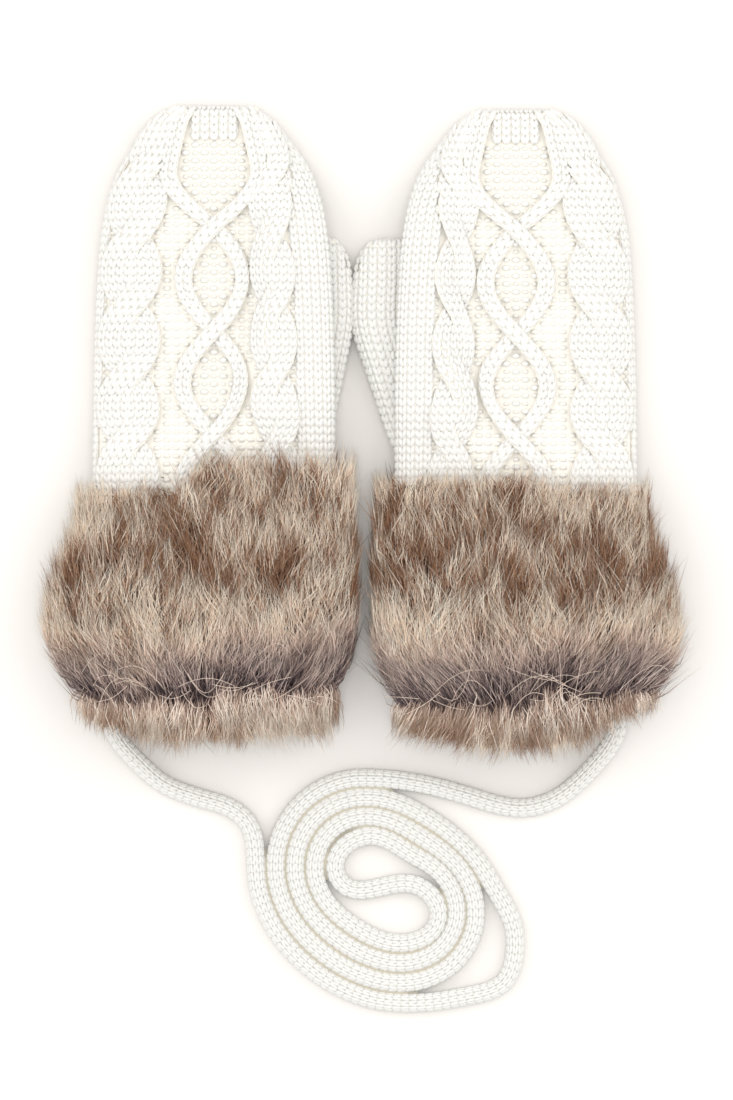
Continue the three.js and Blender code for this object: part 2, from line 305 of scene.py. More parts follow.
@dataclass(frozen=True)
class MittenForm:
    """Outer forms of one mitten, in its own frame and in millimetres."""

    side: Side
    thumb_side: float
    hand_width: float = 104.0
    hand_thickness: float = 23.0
    hand_tip: float = 274.0
    sleeve_end: float = 85.0
    tip_taper: float = 123.0
    fullness: float = 2.6
    pressed_flat: float = 0.6
    thumb_width: float = 34.0
    thumb_thickness: float = 15.0
    thumb_root: float = 112.0
    thumb_tip: float = 219.0
    thumb_root_side: float = 28.0
    lift_blend: float = 16.0
    cuff_length: float = 112.0
    cuff_wall: float = 2.4
    cuff_flare: float = 5.4
    cuff_puff: float = 3.0
    cuff_lean: float = -5.0
    fur_under: float = 2.8
    fit: float = 0.3

    # From the tip: share of the taper, of the width and of the thickness
    HAND_TAPER = (
        (0.0, 0.3, 0.35), (0.04, 0.47, 0.55), (0.106, 0.6, 0.72), (0.211, 0.78, 0.86),
        (0.325, 0.88, 0.94), (0.463, 0.94, 0.98), (0.642, 0.973, 1.0), (0.82, 0.99, 1.0),
        (1.0, 1.0, 1.0),
    )
    # From root to tip: share of the thumb's length, sideways, up, of the width and thickness
    THUMB_COURSE = (
        (0.0, 0.0, 1.0, 1.04, 1.0), (0.1, 0.2, 0.62, 1.04, 1.0), (0.2, 0.4, 0.2, 1.02, 1.0),
        (0.32, 0.58, 0.0, 1.0, 1.0), (0.48, 0.8, 0.0, 1.0, 1.0), (0.64, 1.0, 0.0, 1.0, 1.0),
        (0.84, 1.0, 0.0, 0.95, 0.97), (0.93, 1.0, 0.0, 0.8, 0.86), (0.98, 1.0, 0.0, 0.54, 0.62),
        (1.0, 1.0, 0.0, 0.3, 0.36),
    )
    # From the hem to the sleeve's end: share of the length, of the flare, puff and lean
    CUFF_COURSE = (
        (0.0, -0.1, 0.2, 1.0), (0.235, 0.8, 0.75, 0.95), (0.47, 1.0, 1.0, 0.8),
        (0.76, 0.6, 0.6, 0.35), (1.0, 0.0, 0.0, 0.0),
    )

    @property
    def cuff_lift(self) -> float:
        """Height of the knitted sleeve's underside inside the cuff."""
        return self.fur_under + self.cuff_wall + self.fit

    def outline(self, angle: np.ndarray) -> tuple[np.ndarray, np.ndarray]:
        """Shares of the half width and half thickness of a rounded box at angles round it."""
        cos, sin = np.cos(angle), np.sin(angle)
        power = 2.0 / self.fullness
        return np.sign(cos) * np.abs(cos) ** power, np.sign(sin) * np.abs(sin) ** power

    def hand_rise(self, y: np.ndarray) -> np.ndarray:
        """Height of the hand's underside: level in the cuff, and down beyond it."""
        return self.cuff_lift * (1 - smooth((y - self.cuff_length) / (self.tip_taper / 3)))

    def thumb_centre(self, y: np.ndarray) -> np.ndarray:
        """Sideways place of the thumb's middle line."""
        along = (y - self.thumb_root) / (self.thumb_tip - self.thumb_root)
        share = read_table(self.THUMB_COURSE, along, 1)
        return self.thumb_root_side + share * (self.thumb_side - self.thumb_root_side)

    def lift(self, points: np.ndarray) -> np.ndarray:
        """Bend the hand up where the thumb lies under it.

        Args:
            points: Points of the hand as it would lie without a thumb.

        Returns:
            The points as they lie.
        """
        x, y, z = points[..., 0], points[..., 1], points[..., 2]
        centre = self.thumb_centre(np.minimum(y, self.thumb_tip - self.lift_blend))
        edge = centre - self.thumb_width / 2 - self.lift_blend
        across = smooth((x - edge) / self.lift_blend)
        rise = smooth((y - self.thumb_root - self.lift_blend / 3) / (2 * self.lift_blend))
        fall = smooth((self.thumb_tip + 2 * self.lift_blend - y) / (2 * self.lift_blend))
        height = (z - self.hand_rise(y)) / self.hand_thickness
        under = self.thumb_thickness - self.pressed_flat + 2 * self.fit
        over = self.thumb_thickness / 2
        raised = points.copy()
        raised[..., 2] += across * rise * fall * (under + (over - under) * height)
        return raised

    def hand_ring(self, y: np.ndarray, angle: np.ndarray, grow: float = 0.0) -> np.ndarray:
        """Points of the hand's outside at places along and angles round it."""
        along = (self.hand_tip - y) / self.tip_taper
        width = read_table(self.HAND_TAPER, along, 1) * self.hand_width / 2 + grow
        depth = read_table(self.HAND_TAPER, along, 2) * self.hand_thickness / 2 + grow
        pressed = self.pressed_flat * smooth((y - self.cuff_length) / self.lift_blend)
        middle = self.hand_rise(y) + self.hand_thickness / 2 - pressed
        cos, sin = self.outline(angle)
        x, z = width * cos, np.maximum(middle + depth * sin, 0.0)
        return self.lift(np.stack(np.broadcast_arrays(x, y, z), axis=-1).astype(float))

    def thumb_ring(self, y: np.ndarray, angle: np.ndarray, grow: float = 0.0) -> np.ndarray:
        """Points of the thumb's outside at places along and angles round it."""
        along = (y - self.thumb_root) / (self.thumb_tip - self.thumb_root)
        low = self.thumb_thickness / 2 - self.pressed_flat
        high = self.cuff_lift + self.hand_thickness / 2
        middle = low + (high - low) * np.maximum(read_table(self.THUMB_COURSE, along, 2), 0.0)
        width = read_table(self.THUMB_COURSE, along, 3) * self.thumb_width / 2 + grow
        depth = read_table(self.THUMB_COURSE, along, 4) * self.thumb_thickness / 2 + grow
        cos, sin = self.outline(angle)
        x = self.thumb_centre(y) + width * cos
        z = np.maximum(middle + depth * sin, 0.0)
        return np.stack(np.broadcast_arrays(x, y, z), axis=-1).astype(float)

    def cuff_ring(self, y: np.ndarray, angle: np.ndarray, grow: float = 0.0) -> np.ndarray:
        """Points of the cuff's lining, or of the cloth at a height over it."""
        along = y / self.sleeve_end
        half = self.hand_thickness / 2 + self.fit
        depth = half + self.cuff_puff * read_table(self.CUFF_COURSE, along, 2)
        width = self.hand_width / 2 + self.fit
        width = width + self.cuff_flare * read_table(self.CUFF_COURSE, along, 1)
        lean = self.cuff_lean * read_table(self.CUFF_COURSE, along, 3)
        cos, sin = self.outline(angle)
        x = lean + (width + grow) * cos
        z = self.fur_under + self.cuff_wall + depth + (depth + grow) * sin
        return np.stack(np.broadcast_arrays(x, y, z), axis=-1).astype(float)


Colour = tuple[float, float, float]
Stops = tuple[tuple[float, Colour], ...]
Feed = bpy.types.NodeSocket | Colour | float


class Recipe:
    """A material under way, with its nodes and its shader."""

    def __init__(self, name: str) -> None:
        """Start a material with a plain shader."""
        self.material = bpy.data.materials.new(name)
        self.material.use_nodes = True
        tree = self.material.node_tree
        self.nodes, self.link = tree.nodes, tree.links.new
        self.shader = tree.nodes["Principled BSDF"]

    def feed(self, socket: bpy.types.NodeSocket, value: Feed) -> None:
        """Link an input to another socket, or set it to a colour or a number."""
        if isinstance(value, bpy.types.NodeSocket):
            self.link(value, socket)
        else:
            socket.default_value = (*value, 1.0) if isinstance(value, tuple) else value

    def value(self, name: str) -> bpy.types.NodeSocket:
        """Read one of the named values that a piece has at its points."""
        node = self.nodes.new("ShaderNodeAttribute")
        node.attribute_name = name
        return node.outputs["Fac"]

    def pattern(self, kind: str, scale: float) -> bpy.types.Node:
        """Add a pattern that stays fixed to the piece."""
        place, node = self.nodes.new("ShaderNodeTexCoord"), self.nodes.new(kind)
        node.inputs["Scale"].default_value = scale
        self.link(place.outputs["Object"], node.inputs["Vector"])
        return node

    def mix(
        self, share: Feed, first: Feed, second: Feed, blend: str = "MIX"
    ) -> bpy.types.NodeSocket:
        """Blend two colours.

        Args:
            share: Share of the second one.
            first: The colour at no share.
            second: The colour at a full share.
            blend: Way of blending.

        Returns:
            The blended colour.
        """
        node = self.nodes.new("ShaderNodeMix")
        node.data_type, node.blend_type = "RGBA", blend
        for name, value in (("Factor", share), ("A", first), ("B", second)):
            self.feed(node.inputs[name], value)
        return node.outputs["Result"]

    def ramp(self, value: bpy.types.NodeSocket, stops: Stops) -> bpy.types.NodeSocket:
        """Turn a value into a colour on a ramp."""
        node = self.nodes.new("ShaderNodeValToRGB")
        points = node.color_ramp.elements
        while len(points) < len(stops):
            points.new(0.5)
        for point, (place, colour) in zip(points, stops):
            point.position, point.color = place, (*colour, 1.0)
        self.link(value, node.inputs["Fac"])
        return node.outputs["Color"]

    def emboss(self, height: bpy.types.NodeSocket, depth: float, sunk: bool = False) -> None:
        """Give the surface a fine relief, of a depth in metres."""
        node = self.nodes.new("ShaderNodeBump")
        node.inputs["Strength"].default_value = 0.4
        node.inputs["Distance"].default_value = depth
        node.invert = sunk
        self.link(height, node.inputs["Height"])
        self.link(node.outputs["Normal"], self.shader.inputs["Normal"])

    def done(self, colour: Feed, numbers: dict[str, float]) -> bpy.types.Material:
        """Give the shader its colour and its own numbers, and hand over the material."""
        self.feed(self.shader.inputs["Base Color"], colour)
        for name, number in numbers.items():
            self.shader.inputs[name].default_value = number
        return self.material


@dataclass(frozen=True)
class YarnFinish:
    """Soft matte wool yarn. Its depth attribute paints light and shade: what lies low takes a
    painted recess colour.
    """

    name: str
    light: Colour = (0.84, 0.83, 0.8)
    # Painted recess colour: painted warm light in the hollows, paler than the tops
    painted_recess_colour: Colour = (0.92, 0.885, 0.805)
    roughness: float = 0.95
    sheen: float = 0.25
    fibre_scale: float = 1400.0
    fibre_depth: float = 0.0004
    fibre_tint: float = 0.12

    def material(self) -> bpy.types.Material:
        """Build the material."""
        recipe = Recipe(self.name)
        fibre = recipe.pattern("ShaderNodeTexNoise", self.fibre_scale)
        fibre.inputs["Detail"].default_value = 3.0
        # Painted light and shade: low parts take the painted recess colour, the tops the light one
        colour = recipe.mix(recipe.value("depth"), self.painted_recess_colour, self.light)
        tint = recipe.mix(self.fibre_tint, colour, fibre.outputs["Fac"], "MULTIPLY")
        recipe.emboss(fibre.outputs["Fac"], self.fibre_depth)
        return recipe.done(tint, {
            "Roughness": self.roughness, "Sheen Weight": self.sheen, "Sheen Roughness": 0.6,
            "Specular IOR Level": 0.15,
        })


@dataclass(frozen=True)
class FurFinish:
    """Soft fur, dark at the root. The brown attribute leads from cream locks to brown ones."""

    name: str
    cream: Stops = (
        (0.0, (0.07, 0.048, 0.045)), (0.25, (0.25, 0.172, 0.14)), (0.5, (0.8, 0.59, 0.45)),
        (0.75, (1.0, 0.83, 0.665)), (1.0, (1.0, 0.95, 0.83)),
    )
    brown: Stops = (
        (0.0, (0.045, 0.027, 0.021)), (0.35, (0.12, 0.056, 0.03)), (0.7, (0.21, 0.1, 0.052)),
        (1.0, (0.5, 0.28, 0.165)),
    )
    cool: Colour = (0.78, 0.82, 1.0)
    roughness: float = 0.6

    def material(self) -> bpy.types.Material:
        """Build the material."""
        recipe = Recipe(self.name)
        tone = recipe.value("tone")
        kinds = [recipe.ramp(tone, stops) for stops in (self.cream, self.brown)]
        colour = recipe.mix(recipe.value("brown"), *kinds)
        tint = recipe.mix(recipe.value("cool"), colour, self.cool, "MULTIPLY")
        return recipe.done(tint, {
            "Roughness": self.roughness, "Sheen Weight": 0.05, "Specular IOR Level": 0.2,
        })


@dataclass(frozen=True)
class ClothFinish:
    """Plain woven or knitted backing cloth."""

    name: str
    colour: Colour
    weave_scale: float = 900.0
    weave_depth: float = 0.0003
    between: float = 0.6

    def material(self) -> bpy.types.Material:
        """Build the material."""
        recipe = Recipe(self.name)
        weave = recipe.pattern("ShaderNodeTexVoronoi", self.weave_scale).outputs["Distance"]
        darker = tuple(self.between * part for part in self.colour)
        recipe.emboss(weave, self.weave_depth, sunk=True)
        numbers = {"Roughness": 0.95, "Sheen Weight": 0.2}
        return recipe.done(recipe.mix(weave, self.colour, darker), numbers)


class BeadDetail(Enum):
    """How finely stitches are shaped: faces round and along each bead of yarn."""

    FINE = (5, 4)
    PLAIN = (4, 3)


class StitchBatch:
    """Yarn stitches on a cloth, each a slender bead from one place to another."""

    # Shares of a stitch's width: the foot and head of its legs, and the radius of its yarn
    LEG_FOOT, LEG_HEAD, END_LEG, YARN = 0.06, 0.36, 0.22, 0.31
    # Shares of a row that its legs reach below and above its place
    LEG_BELOW, LEG_ABOVE = 0.58, 0.7
    # Heights of a leg's foot and head, and of its middle over them, in millimetres
    LEG_SINK, LEG_RISE, LEG_BULGE = 0.35, 0.1, 0.3

    def __init__(self, cloth: Cloth) -> None:
        """Start an empty batch on a cloth."""
        self.cloth = cloth
        self.beads: list[np.ndarray] = []
        self.columns: list[tuple] = []

    def add(
        self, start: tuple, end: tuple, height: tuple, radius: float, bulge: float, depth: float
    ) -> None:
        """Add beads between two rows of places.

        Args:
            start: Distances round and places along where the beads start.
            end: The same where they end.
            height: Heights over the cloth at the start and the end.
            radius: Radius of the yarn.
            bulge: Extra height of a bead's middle.
            depth: Painted shade of the beads, from 0 in the depth to 1 on top.
        """
        parts = np.broadcast_arrays(*start, *end, *height, radius, bulge, depth)
        self.beads.append(np.stack([np.ravel(part) for part in parts], axis=1))

    def wale(
        self, s: np.ndarray, y: np.ndarray, width: float, row: float, height: np.ndarray,
        depth: float = 1.0,
    ) -> None:
        """Add a column of knit stitches, each of two legs that open upwards.

        Args:
            s: Distances round of the column's middle, one for each row.
            y: Places along.
            width: Width of a stitch.
            row: Height of a row.
            height: Heights over the cloth.
            depth: Painted shade of the stitches.
        """
        if len(y) < 2:
            return
        slope = np.gradient(s, y)
        length = np.hypot(slope, 1.0)
        across = (1 / length, -slope / length)
        below, above = self.LEG_BELOW * row, self.LEG_ABOVE * row
        levels = (height - self.LEG_SINK, height + self.LEG_RISE)
        for hand in (-1.0, 1.0):
            foot, head = self.LEG_FOOT * width * hand, self.LEG_HEAD * width * hand
            start = (s + foot * across[0] - below * slope, y + foot * across[1] - below)
            end = (s + head * across[0] + above * slope, y + head * across[1] + above)
            self.add(start, end, levels, self.YARN * width, self.LEG_BULGE, depth)
        self.columns.append((s, y, slope, width, height))

    def purl(
        self, s: np.ndarray, y: np.ndarray, width: float, height: float, depth: float,
        radius: float,
    ) -> None:
        """Add purl bumps, which lie across the column."""
        reach = 0.5 * width
        ends = (height - 0.5, height - 0.5)
        self.add((s - reach, y - 0.3), (s + reach, y - 0.3), ends, radius, 0.6, depth)

    def close_end(self, width: float) -> None:
        """Add stitches over the closed far end of the cloth, from its top edge to its bottom one.

        Args:
            width: Width of a stitch.
        """
        y = self.cloth.end
        girth = float(self.cloth.girth(np.array([y]))[0])
        middle = np.arange(width - girth / 4, girth / 4 - width / 2, width)
        for hand in (-self.END_LEG, self.END_LEG):
            s = middle + hand * width
            here, radius = np.full(len(s), y), self.YARN * width
            self.add((s, here), (girth / 2 - s, here), (-0.2, -0.2), radius, 1.0, 1.0)

    def strips(self, drop: float = 0.15) -> tuple[np.ndarray, np.ndarray]:
        """Make the strip of yarn behind each knit column, which closes the gaps in it.

        Args:
            drop: Depth of the strips below the middle of the stitches.

        Returns:
            Points and corner numbers of faces.
        """
        points, faces, total = [np.empty((0, 3))], [np.empty((0, 4), dtype=int)], 0
        for s, y, slope, width, height in self.columns:
            offset = np.array([-0.55, 0.0, 0.55]) * width
            length = np.hypot(slope, 1.0)[:, None]
            around = s[:, None] + offset / length
            along = y[:, None] - offset * slope[:, None] / length
            level = (height - drop)[:, None, None]
            strip = self.cloth.place(around, along) + self.cloth.normal(around, along) * level
            points.append(strip.reshape(-1, 3))
            faces.append(grid_faces(len(y), len(offset), False) + total)
            total += strip.shape[0] * strip.shape[1]
        return np.concatenate(points), np.concatenate(faces)

    def build(
        self, name: str, side: Side, finish: bpy.types.Material, detail: BeadDetail
    ) -> bpy.types.Object:
        """Make one mesh of all beads and strips.

        Args:
            name: Name of the object.
            side: Which mitten it belongs to.
            finish: Its material.
            detail: How finely the stitches are shaped.

        Returns:
            The object.
        """
        beads = np.concatenate(self.beads)
        start_s, start_y, end_s, end_y, low, high, radius, bulge, depth = beads.T
        start, end = self.cloth.place(start_s, start_y), self.cloth.place(end_s, end_y)
        up_start = self.cloth.normal(start_s, start_y)
        up_end = self.cloth.normal(end_s, end_y)
        start = start + up_start * low[:, None]
        end = end + up_end * high[:, None]
        up = up_start + up_end
        points, faces, shade = join_beads(start, end, up, (radius, bulge, depth), detail)
        behind, strip_faces = self.strips()
        faces = np.concatenate([faces, strip_faces + len(points)])
        points = np.concatenate([points, behind])
        # The strips behind the columns take the full painted recess colour, as painted shade
        shade = np.concatenate([shade, np.zeros(len(behind))])
        placed = to_row_frame(points, side)
        placed[:, 2] = np.maximum(placed[:, 2], 0.0)
        flipped = side is Side.RIGHT
        return mesh_object(name, placed, faces, finish, {"depth": shade}, flipped)


def bead_shape(detail: BeadDetail) -> tuple[np.ndarray, np.ndarray]:
    """Make one small bead of unit size.

    Args:
        detail: Its faces round and along.

    Returns:
        Its points and the corner numbers of its faces.
    """
    around, along = detail.value
    shape = bmesh.new()
    bmesh.ops.create_uvsphere(shape, u_segments=around, v_segments=along, radius=1.0)
    points = np.array([vertex.co[:] for vertex in shape.verts])
    corners = [[vertex.index for vertex in face.verts] for face in shape.faces]
    faces = np.array([face if len(face) == 4 else [*face, face[-1]] for face in corners])
    shape.free()
    return points, faces


def join_beads(
    start: np.ndarray, end: np.ndarray, up: np.ndarray, sizes: tuple, detail: BeadDetail
) -> tuple[np.ndarray, np.ndarray, np.ndarray]:
    """Stretch a bead between each pair of points.

    Args:
        start: Where each bead starts.
        end: Where it ends.
        up: Its outward direction.
        sizes: Radius, extra height of the middle and painted shade of each bead.
        detail: How finely the beads are shaped.

    Returns:
        Points, corner numbers of faces, and a painted shade for each point.
    """
    radius, bulge, depth = sizes
    shape, corners = bead_shape(detail)
    half = (end - start) / 2
    side = unit(np.cross(half, up))
    out = unit(np.cross(side, half))
    x, y, z = shape.T
    points = (start + end)[:, None, :] / 2 + z[None, :, None] * half[:, None, :]
    wide = radius[:, None] * x[None, :]
    high = radius[:, None] * y[None, :] + bulge[:, None] * (1 - z**2)[None, :]
    points = points + wide[..., None] * side[:, None, :] + high[..., None] * out[:, None, :]
    shift = np.arange(len(start))[:, None, None] * len(shape)
    faces = (corners[None] + shift).reshape(-1, 4)
    # Painted shade: each bead's underside takes more of the painted recess colour than its top
    shade = np.repeat(depth, len(shape)) * np.tile(0.85 + 0.15 * y, len(start))
    return points.reshape(-1, 3), faces, np.clip(shade, 0.0, 1.0)


@dataclass(frozen=True)
class Rope:
    """One rope cable: two bundles of knit columns that twist round each other."""

    centre: float
    swing: float
    columns: int
    width: float

    @property
    def half(self) -> float:
        """Half the width of one bundle."""
        return self.columns * self.width / 2

    @property
    def reach(self) -> float:
        """Half the width of the whole rope where it is widest."""
        return self.swing + self.half


@dataclass
class KnittedHand:
    """Hand of the mitten: a knitted shell with its stitches and cables."""

    form: MittenForm
    stitch: float = 4.1
    row: float = 3.5
    first_row: float = 104.0
    shell_inset: float = 0.7
    shell_wall: float = 2.7
    lattice_swing: float = 13.8
    lattice_pitch: float = 46.0
    top_crossing: float = 222.0
    top_spread: float = 20.0
    top_opening: float = 24.0
    tip_columns: float = 261.0
    strand_half: float = 3.8
    rope_pitch: float = 30.0
    rope_crossing: float = 157.0
    cable_rise: float = 1.5
    strand_stitch: float = 3.8
    strand_offset: float = 1.85
    side_stitch: float = 4.0
    side_pitch: float = 3.9
    side_room: float = 1.9
    palm_room: float = 5.6
    shell_tip: float = 14.0

    ROPES = (Rope(28.5, 5.0, 3, 3.3), Rope(-37.5, 6.8, 4, 3.5))

    def __post_init__(self) -> None:
        """Lay out the cloth and the rows."""
        form = self.form
        self.cloth = Cloth(form.hand_ring, form.sleeve_end, form.hand_tip - 0.3)
        self.rows = np.arange(self.first_row, form.hand_tip - 1.5, self.row)

    def narrowing(self, y: np.ndarray) -> np.ndarray:
        """Share of its full width that the hand has at places along it."""
        along = (self.form.hand_tip - y) / self.form.tip_taper
        return read_table(self.form.HAND_TAPER, along, 1)

    def edge(self, y: np.ndarray) -> np.ndarray:
        """Distance round from the middle to the hand's edge."""
        return self.cloth.girth(y) / 4

    def spread(self, y: np.ndarray) -> np.ndarray:
        """Distance of the lattice strands from the middle above their last crossing."""
        opened = np.clip((y - self.top_crossing) / self.top_opening, 0.0, 1.0)
        narrowed = np.minimum(self.narrowing(y) / 0.8, 1.0) ** 0.6
        return self.top_spread * np.sin(math.pi / 2 * opened) * narrowed

    def lattice(self, y: np.ndarray, hand: float) -> tuple[np.ndarray, np.ndarray]:
        """Place and rise of one strand of the lattice, which opens out at the top."""
        phase = math.pi * (y - self.top_crossing) / self.lattice_pitch
        swing = -hand * self.lattice_swing * np.sin(phase) * self.narrowing(y)
        s = np.where(y > self.top_crossing, -hand * self.spread(y), swing)
        over = 1 - smooth((y - self.top_crossing - 4.0) / 14.0)
        return s, self.cable_rise - 0.9 * hand * np.cos(phase) * over

    def rope_middle(self, y: np.ndarray, rope: Rope) -> np.ndarray:
        """Place of a rope's middle line, which the lattice pushes outwards at the top."""
        narrow = self.narrowing(y)
        pushed = self.spread(y) + (rope.half + 0.85 * rope.swing) * narrow
        return math.copysign(1.0, rope.centre) * np.maximum(abs(rope.centre) * narrow, pushed)

    def rope(self, y: np.ndarray, rope: Rope, hand: float) -> tuple[np.ndarray, np.ndarray]:
        """Place and rise of one bundle of a rope cable."""
        phase = math.pi * (y - self.rope_crossing) / self.rope_pitch
        turn = np.sin(phase)
        swing = hand * rope.swing * np.sign(turn) * np.abs(turn) ** 0.8
        over = hand * np.cos(phase) * np.abs(np.cos(phase))
        place = self.rope_middle(y, rope) + swing * self.narrowing(y)
        return place, self.cable_rise + 1.2 * over

    def rope_edge(self, y: np.ndarray, rope: Rope) -> np.ndarray:
        """Distance from the middle of the hand to the far edge of a rope."""
        return np.abs(self.rope_middle(y, rope)) + rope.reach * self.narrowing(y)

    def cables(self, batch: StitchBatch) -> None:
        """Add the raised cables on the back of the hand."""
        y = self.rows
        inner = np.abs(self.lattice(y, 1.0)[0]) + self.strand_half - 0.8
        for hand in (-1.0, 1.0):
            s, rise = self.lattice(y, hand)
            for offset in (-self.strand_offset, self.strand_offset):
                batch.wale(s + offset, y, self.strand_stitch, self.row, rise + 0.5)
            for rope in self.ROPES:
                s, rise = self.rope(y, rope, hand)
                for column in range(rope.columns):
                    offset = (column - (rope.columns - 1) / 2) * rope.width
                    place = s + offset * (0.3 + 0.7 * self.narrowing(y))
                    keep = (np.abs(place) < self.edge(y) - 1.6) & (np.abs(place) > inner)
                    dome = 0.7 * (1 - (offset / rope.half) ** 2)
                    width = rope.width + 0.35
                    batch.wale(place[keep], y[keep], width, self.row, (rise + dome)[keep])

    def ground(self, batch: StitchBatch) -> None:
        """Add purl and moss stitches between the cables, and knit columns at the tip."""
        columns = np.arange(-14, 15)[:, None]
        rows = np.arange(len(self.rows))[None, :]
        place, y = np.broadcast_arrays(columns * self.stitch, self.rows[None, :])
        free = np.ones(place.shape, dtype=bool)
        for hand in (-1.0, 1.0):
            free &= np.abs(place - self.lattice(y, hand)[0]) > self.strand_half + 0.5
            for rope in self.ROPES:
                free &= np.abs(place - self.rope(y, rope, hand)[0]) > rope.half + 0.4
        for rope in self.ROPES:
            free &= math.copysign(1.0, rope.centre) * place < self.rope_edge(y, rope)
        inside = np.abs(place) < np.abs(self.lattice(y, 1.0)[0])
        knit = inside & free & (y > self.tip_columns)
        moss = inside & free & ~knit
        odd = (columns + rows) % 2 == 0
        # The fourth number is painted shade: lower stitches take more of the painted recess colour
        for mask, share, height, depth, radius in (
            (moss & odd, 1.0, 0.5, 0.9, 1.4),
            (moss & ~odd, 0.75, -0.4, 0.6, 1.1),
            (free & ~inside, 1.0, -0.5, 0.5, 1.25),
        ):
            width = share * self.stitch
            batch.purl(place[mask], y[mask], width, height, depth, radius)
        for column, keep in enumerate(knit):
            level = np.full(keep.sum(), 0.2)
            batch.wale(place[column][keep], y[column][keep], self.stitch, self.row, level)

    def sides(self, batch: StitchBatch) -> None:
        """Add the knit columns between each rope and the edge, which run up over the tip."""
        y = self.rows
        for rope in self.ROPES:
            sign = math.copysign(1.0, rope.centre)
            quarter = self.edge(y)
            for column in range(-1, 7):
                reach = quarter - self.side_room - self.side_pitch * column
                keep = reach > self.rope_edge(y, rope) - 0.6
                s, level = sign * reach[keep], np.full(keep.sum(), 0.1)
                batch.wale(s, y[keep], self.side_stitch, self.row, level)

    def palm(self, batch: StitchBatch) -> None:
        """Add the plain knit columns of the palm."""
        y = self.rows
        count = int(self.edge(y[:1])[0] // self.stitch)
        for column in range(-count, count + 1):
            keep = np.abs(column * self.stitch) < self.edge(y) - self.palm_room
            s = column * self.stitch + self.cloth.girth(y) / 2
            batch.wale(s[keep], y[keep], self.stitch, self.row, np.zeros(keep.sum()))

    def shell(self, finish: bpy.types.Material) -> bpy.types.Object:
        """Make the knitted wall under the stitches, hollow and open at the sleeve's end.

        Args:
            finish: Its material.

        Returns:
            The object.
        """
        form = self.form
        tip, reach = form.hand_tip, self.shell_tip
        y = np.concatenate([
            np.linspace(form.sleeve_end, tip - reach, 60),
            tip - reach * (1 - np.linspace(0, 1, 9)[1:]) ** 1.6 - self.shell_inset,
        ])
        angle = np.linspace(0, 2 * math.pi, 72, endpoint=False)
        points = form.hand_ring(y[:, None], angle[None, :], -self.shell_inset)
        return shell_object(
            f"{form.side.label}_hand_shell", points, form.side, finish, self.shell_wall
        )

    def build(self, yarn: bpy.types.Material) -> list[bpy.types.Object]:
        """Build and dress the hand.

        Args:
            yarn: Finish of the yarn.

        Returns:
            Its pieces.
        """
        back, palm = StitchBatch(self.cloth), StitchBatch(self.cloth)
        self.cables(back)
        self.ground(back)
        self.sides(back)
        back.close_end(self.stitch)
        self.palm(palm)
        side = self.form.side
        return [
            self.shell(yarn),
            back.build(f"{side.label}_hand_back_stitches", side, yarn, BeadDetail.FINE),
            palm.build(f"{side.label}_hand_palm_stitches", side, yarn, BeadDetail.PLAIN),
        ]


def shell_object(
    name: str, points: np.ndarray, side: Side, finish: bpy.types.Material, wall: float,
) -> bpy.types.Object:
    """Make a hollow shell from rings, closed at its far end.

    Args:
        name: Name of the object.
        points: Rings of points in the mitten's own frame.
        side: Which mitten.
        finish: Its material.
        wall: Thickness of its wall, which lies inwards.

    Returns:
        The object, with a live Solidify modifier.
    """
    rows, columns = points.shape[:2]
    hub = points[-1].mean(axis=0)
    placed = to_row_frame(np.concatenate([points.reshape(-1, 3), hub[None]]), side)
    cap = cap_faces((rows - 1) * columns, columns, rows * columns)
    faces = np.concatenate([grid_faces(rows, columns, True), cap])
    # The shell takes the full painted recess colour, as painted shade under the stitches
    depth = np.zeros(len(placed))
    outward = side is Side.LEFT
    obj = mesh_object(name, placed, faces, finish, {"depth": depth}, outward)
    solid = obj.modifiers.new("Wall", "SOLIDIFY")
    solid.thickness = wall * MM
    solid.offset = -1.0
    return obj


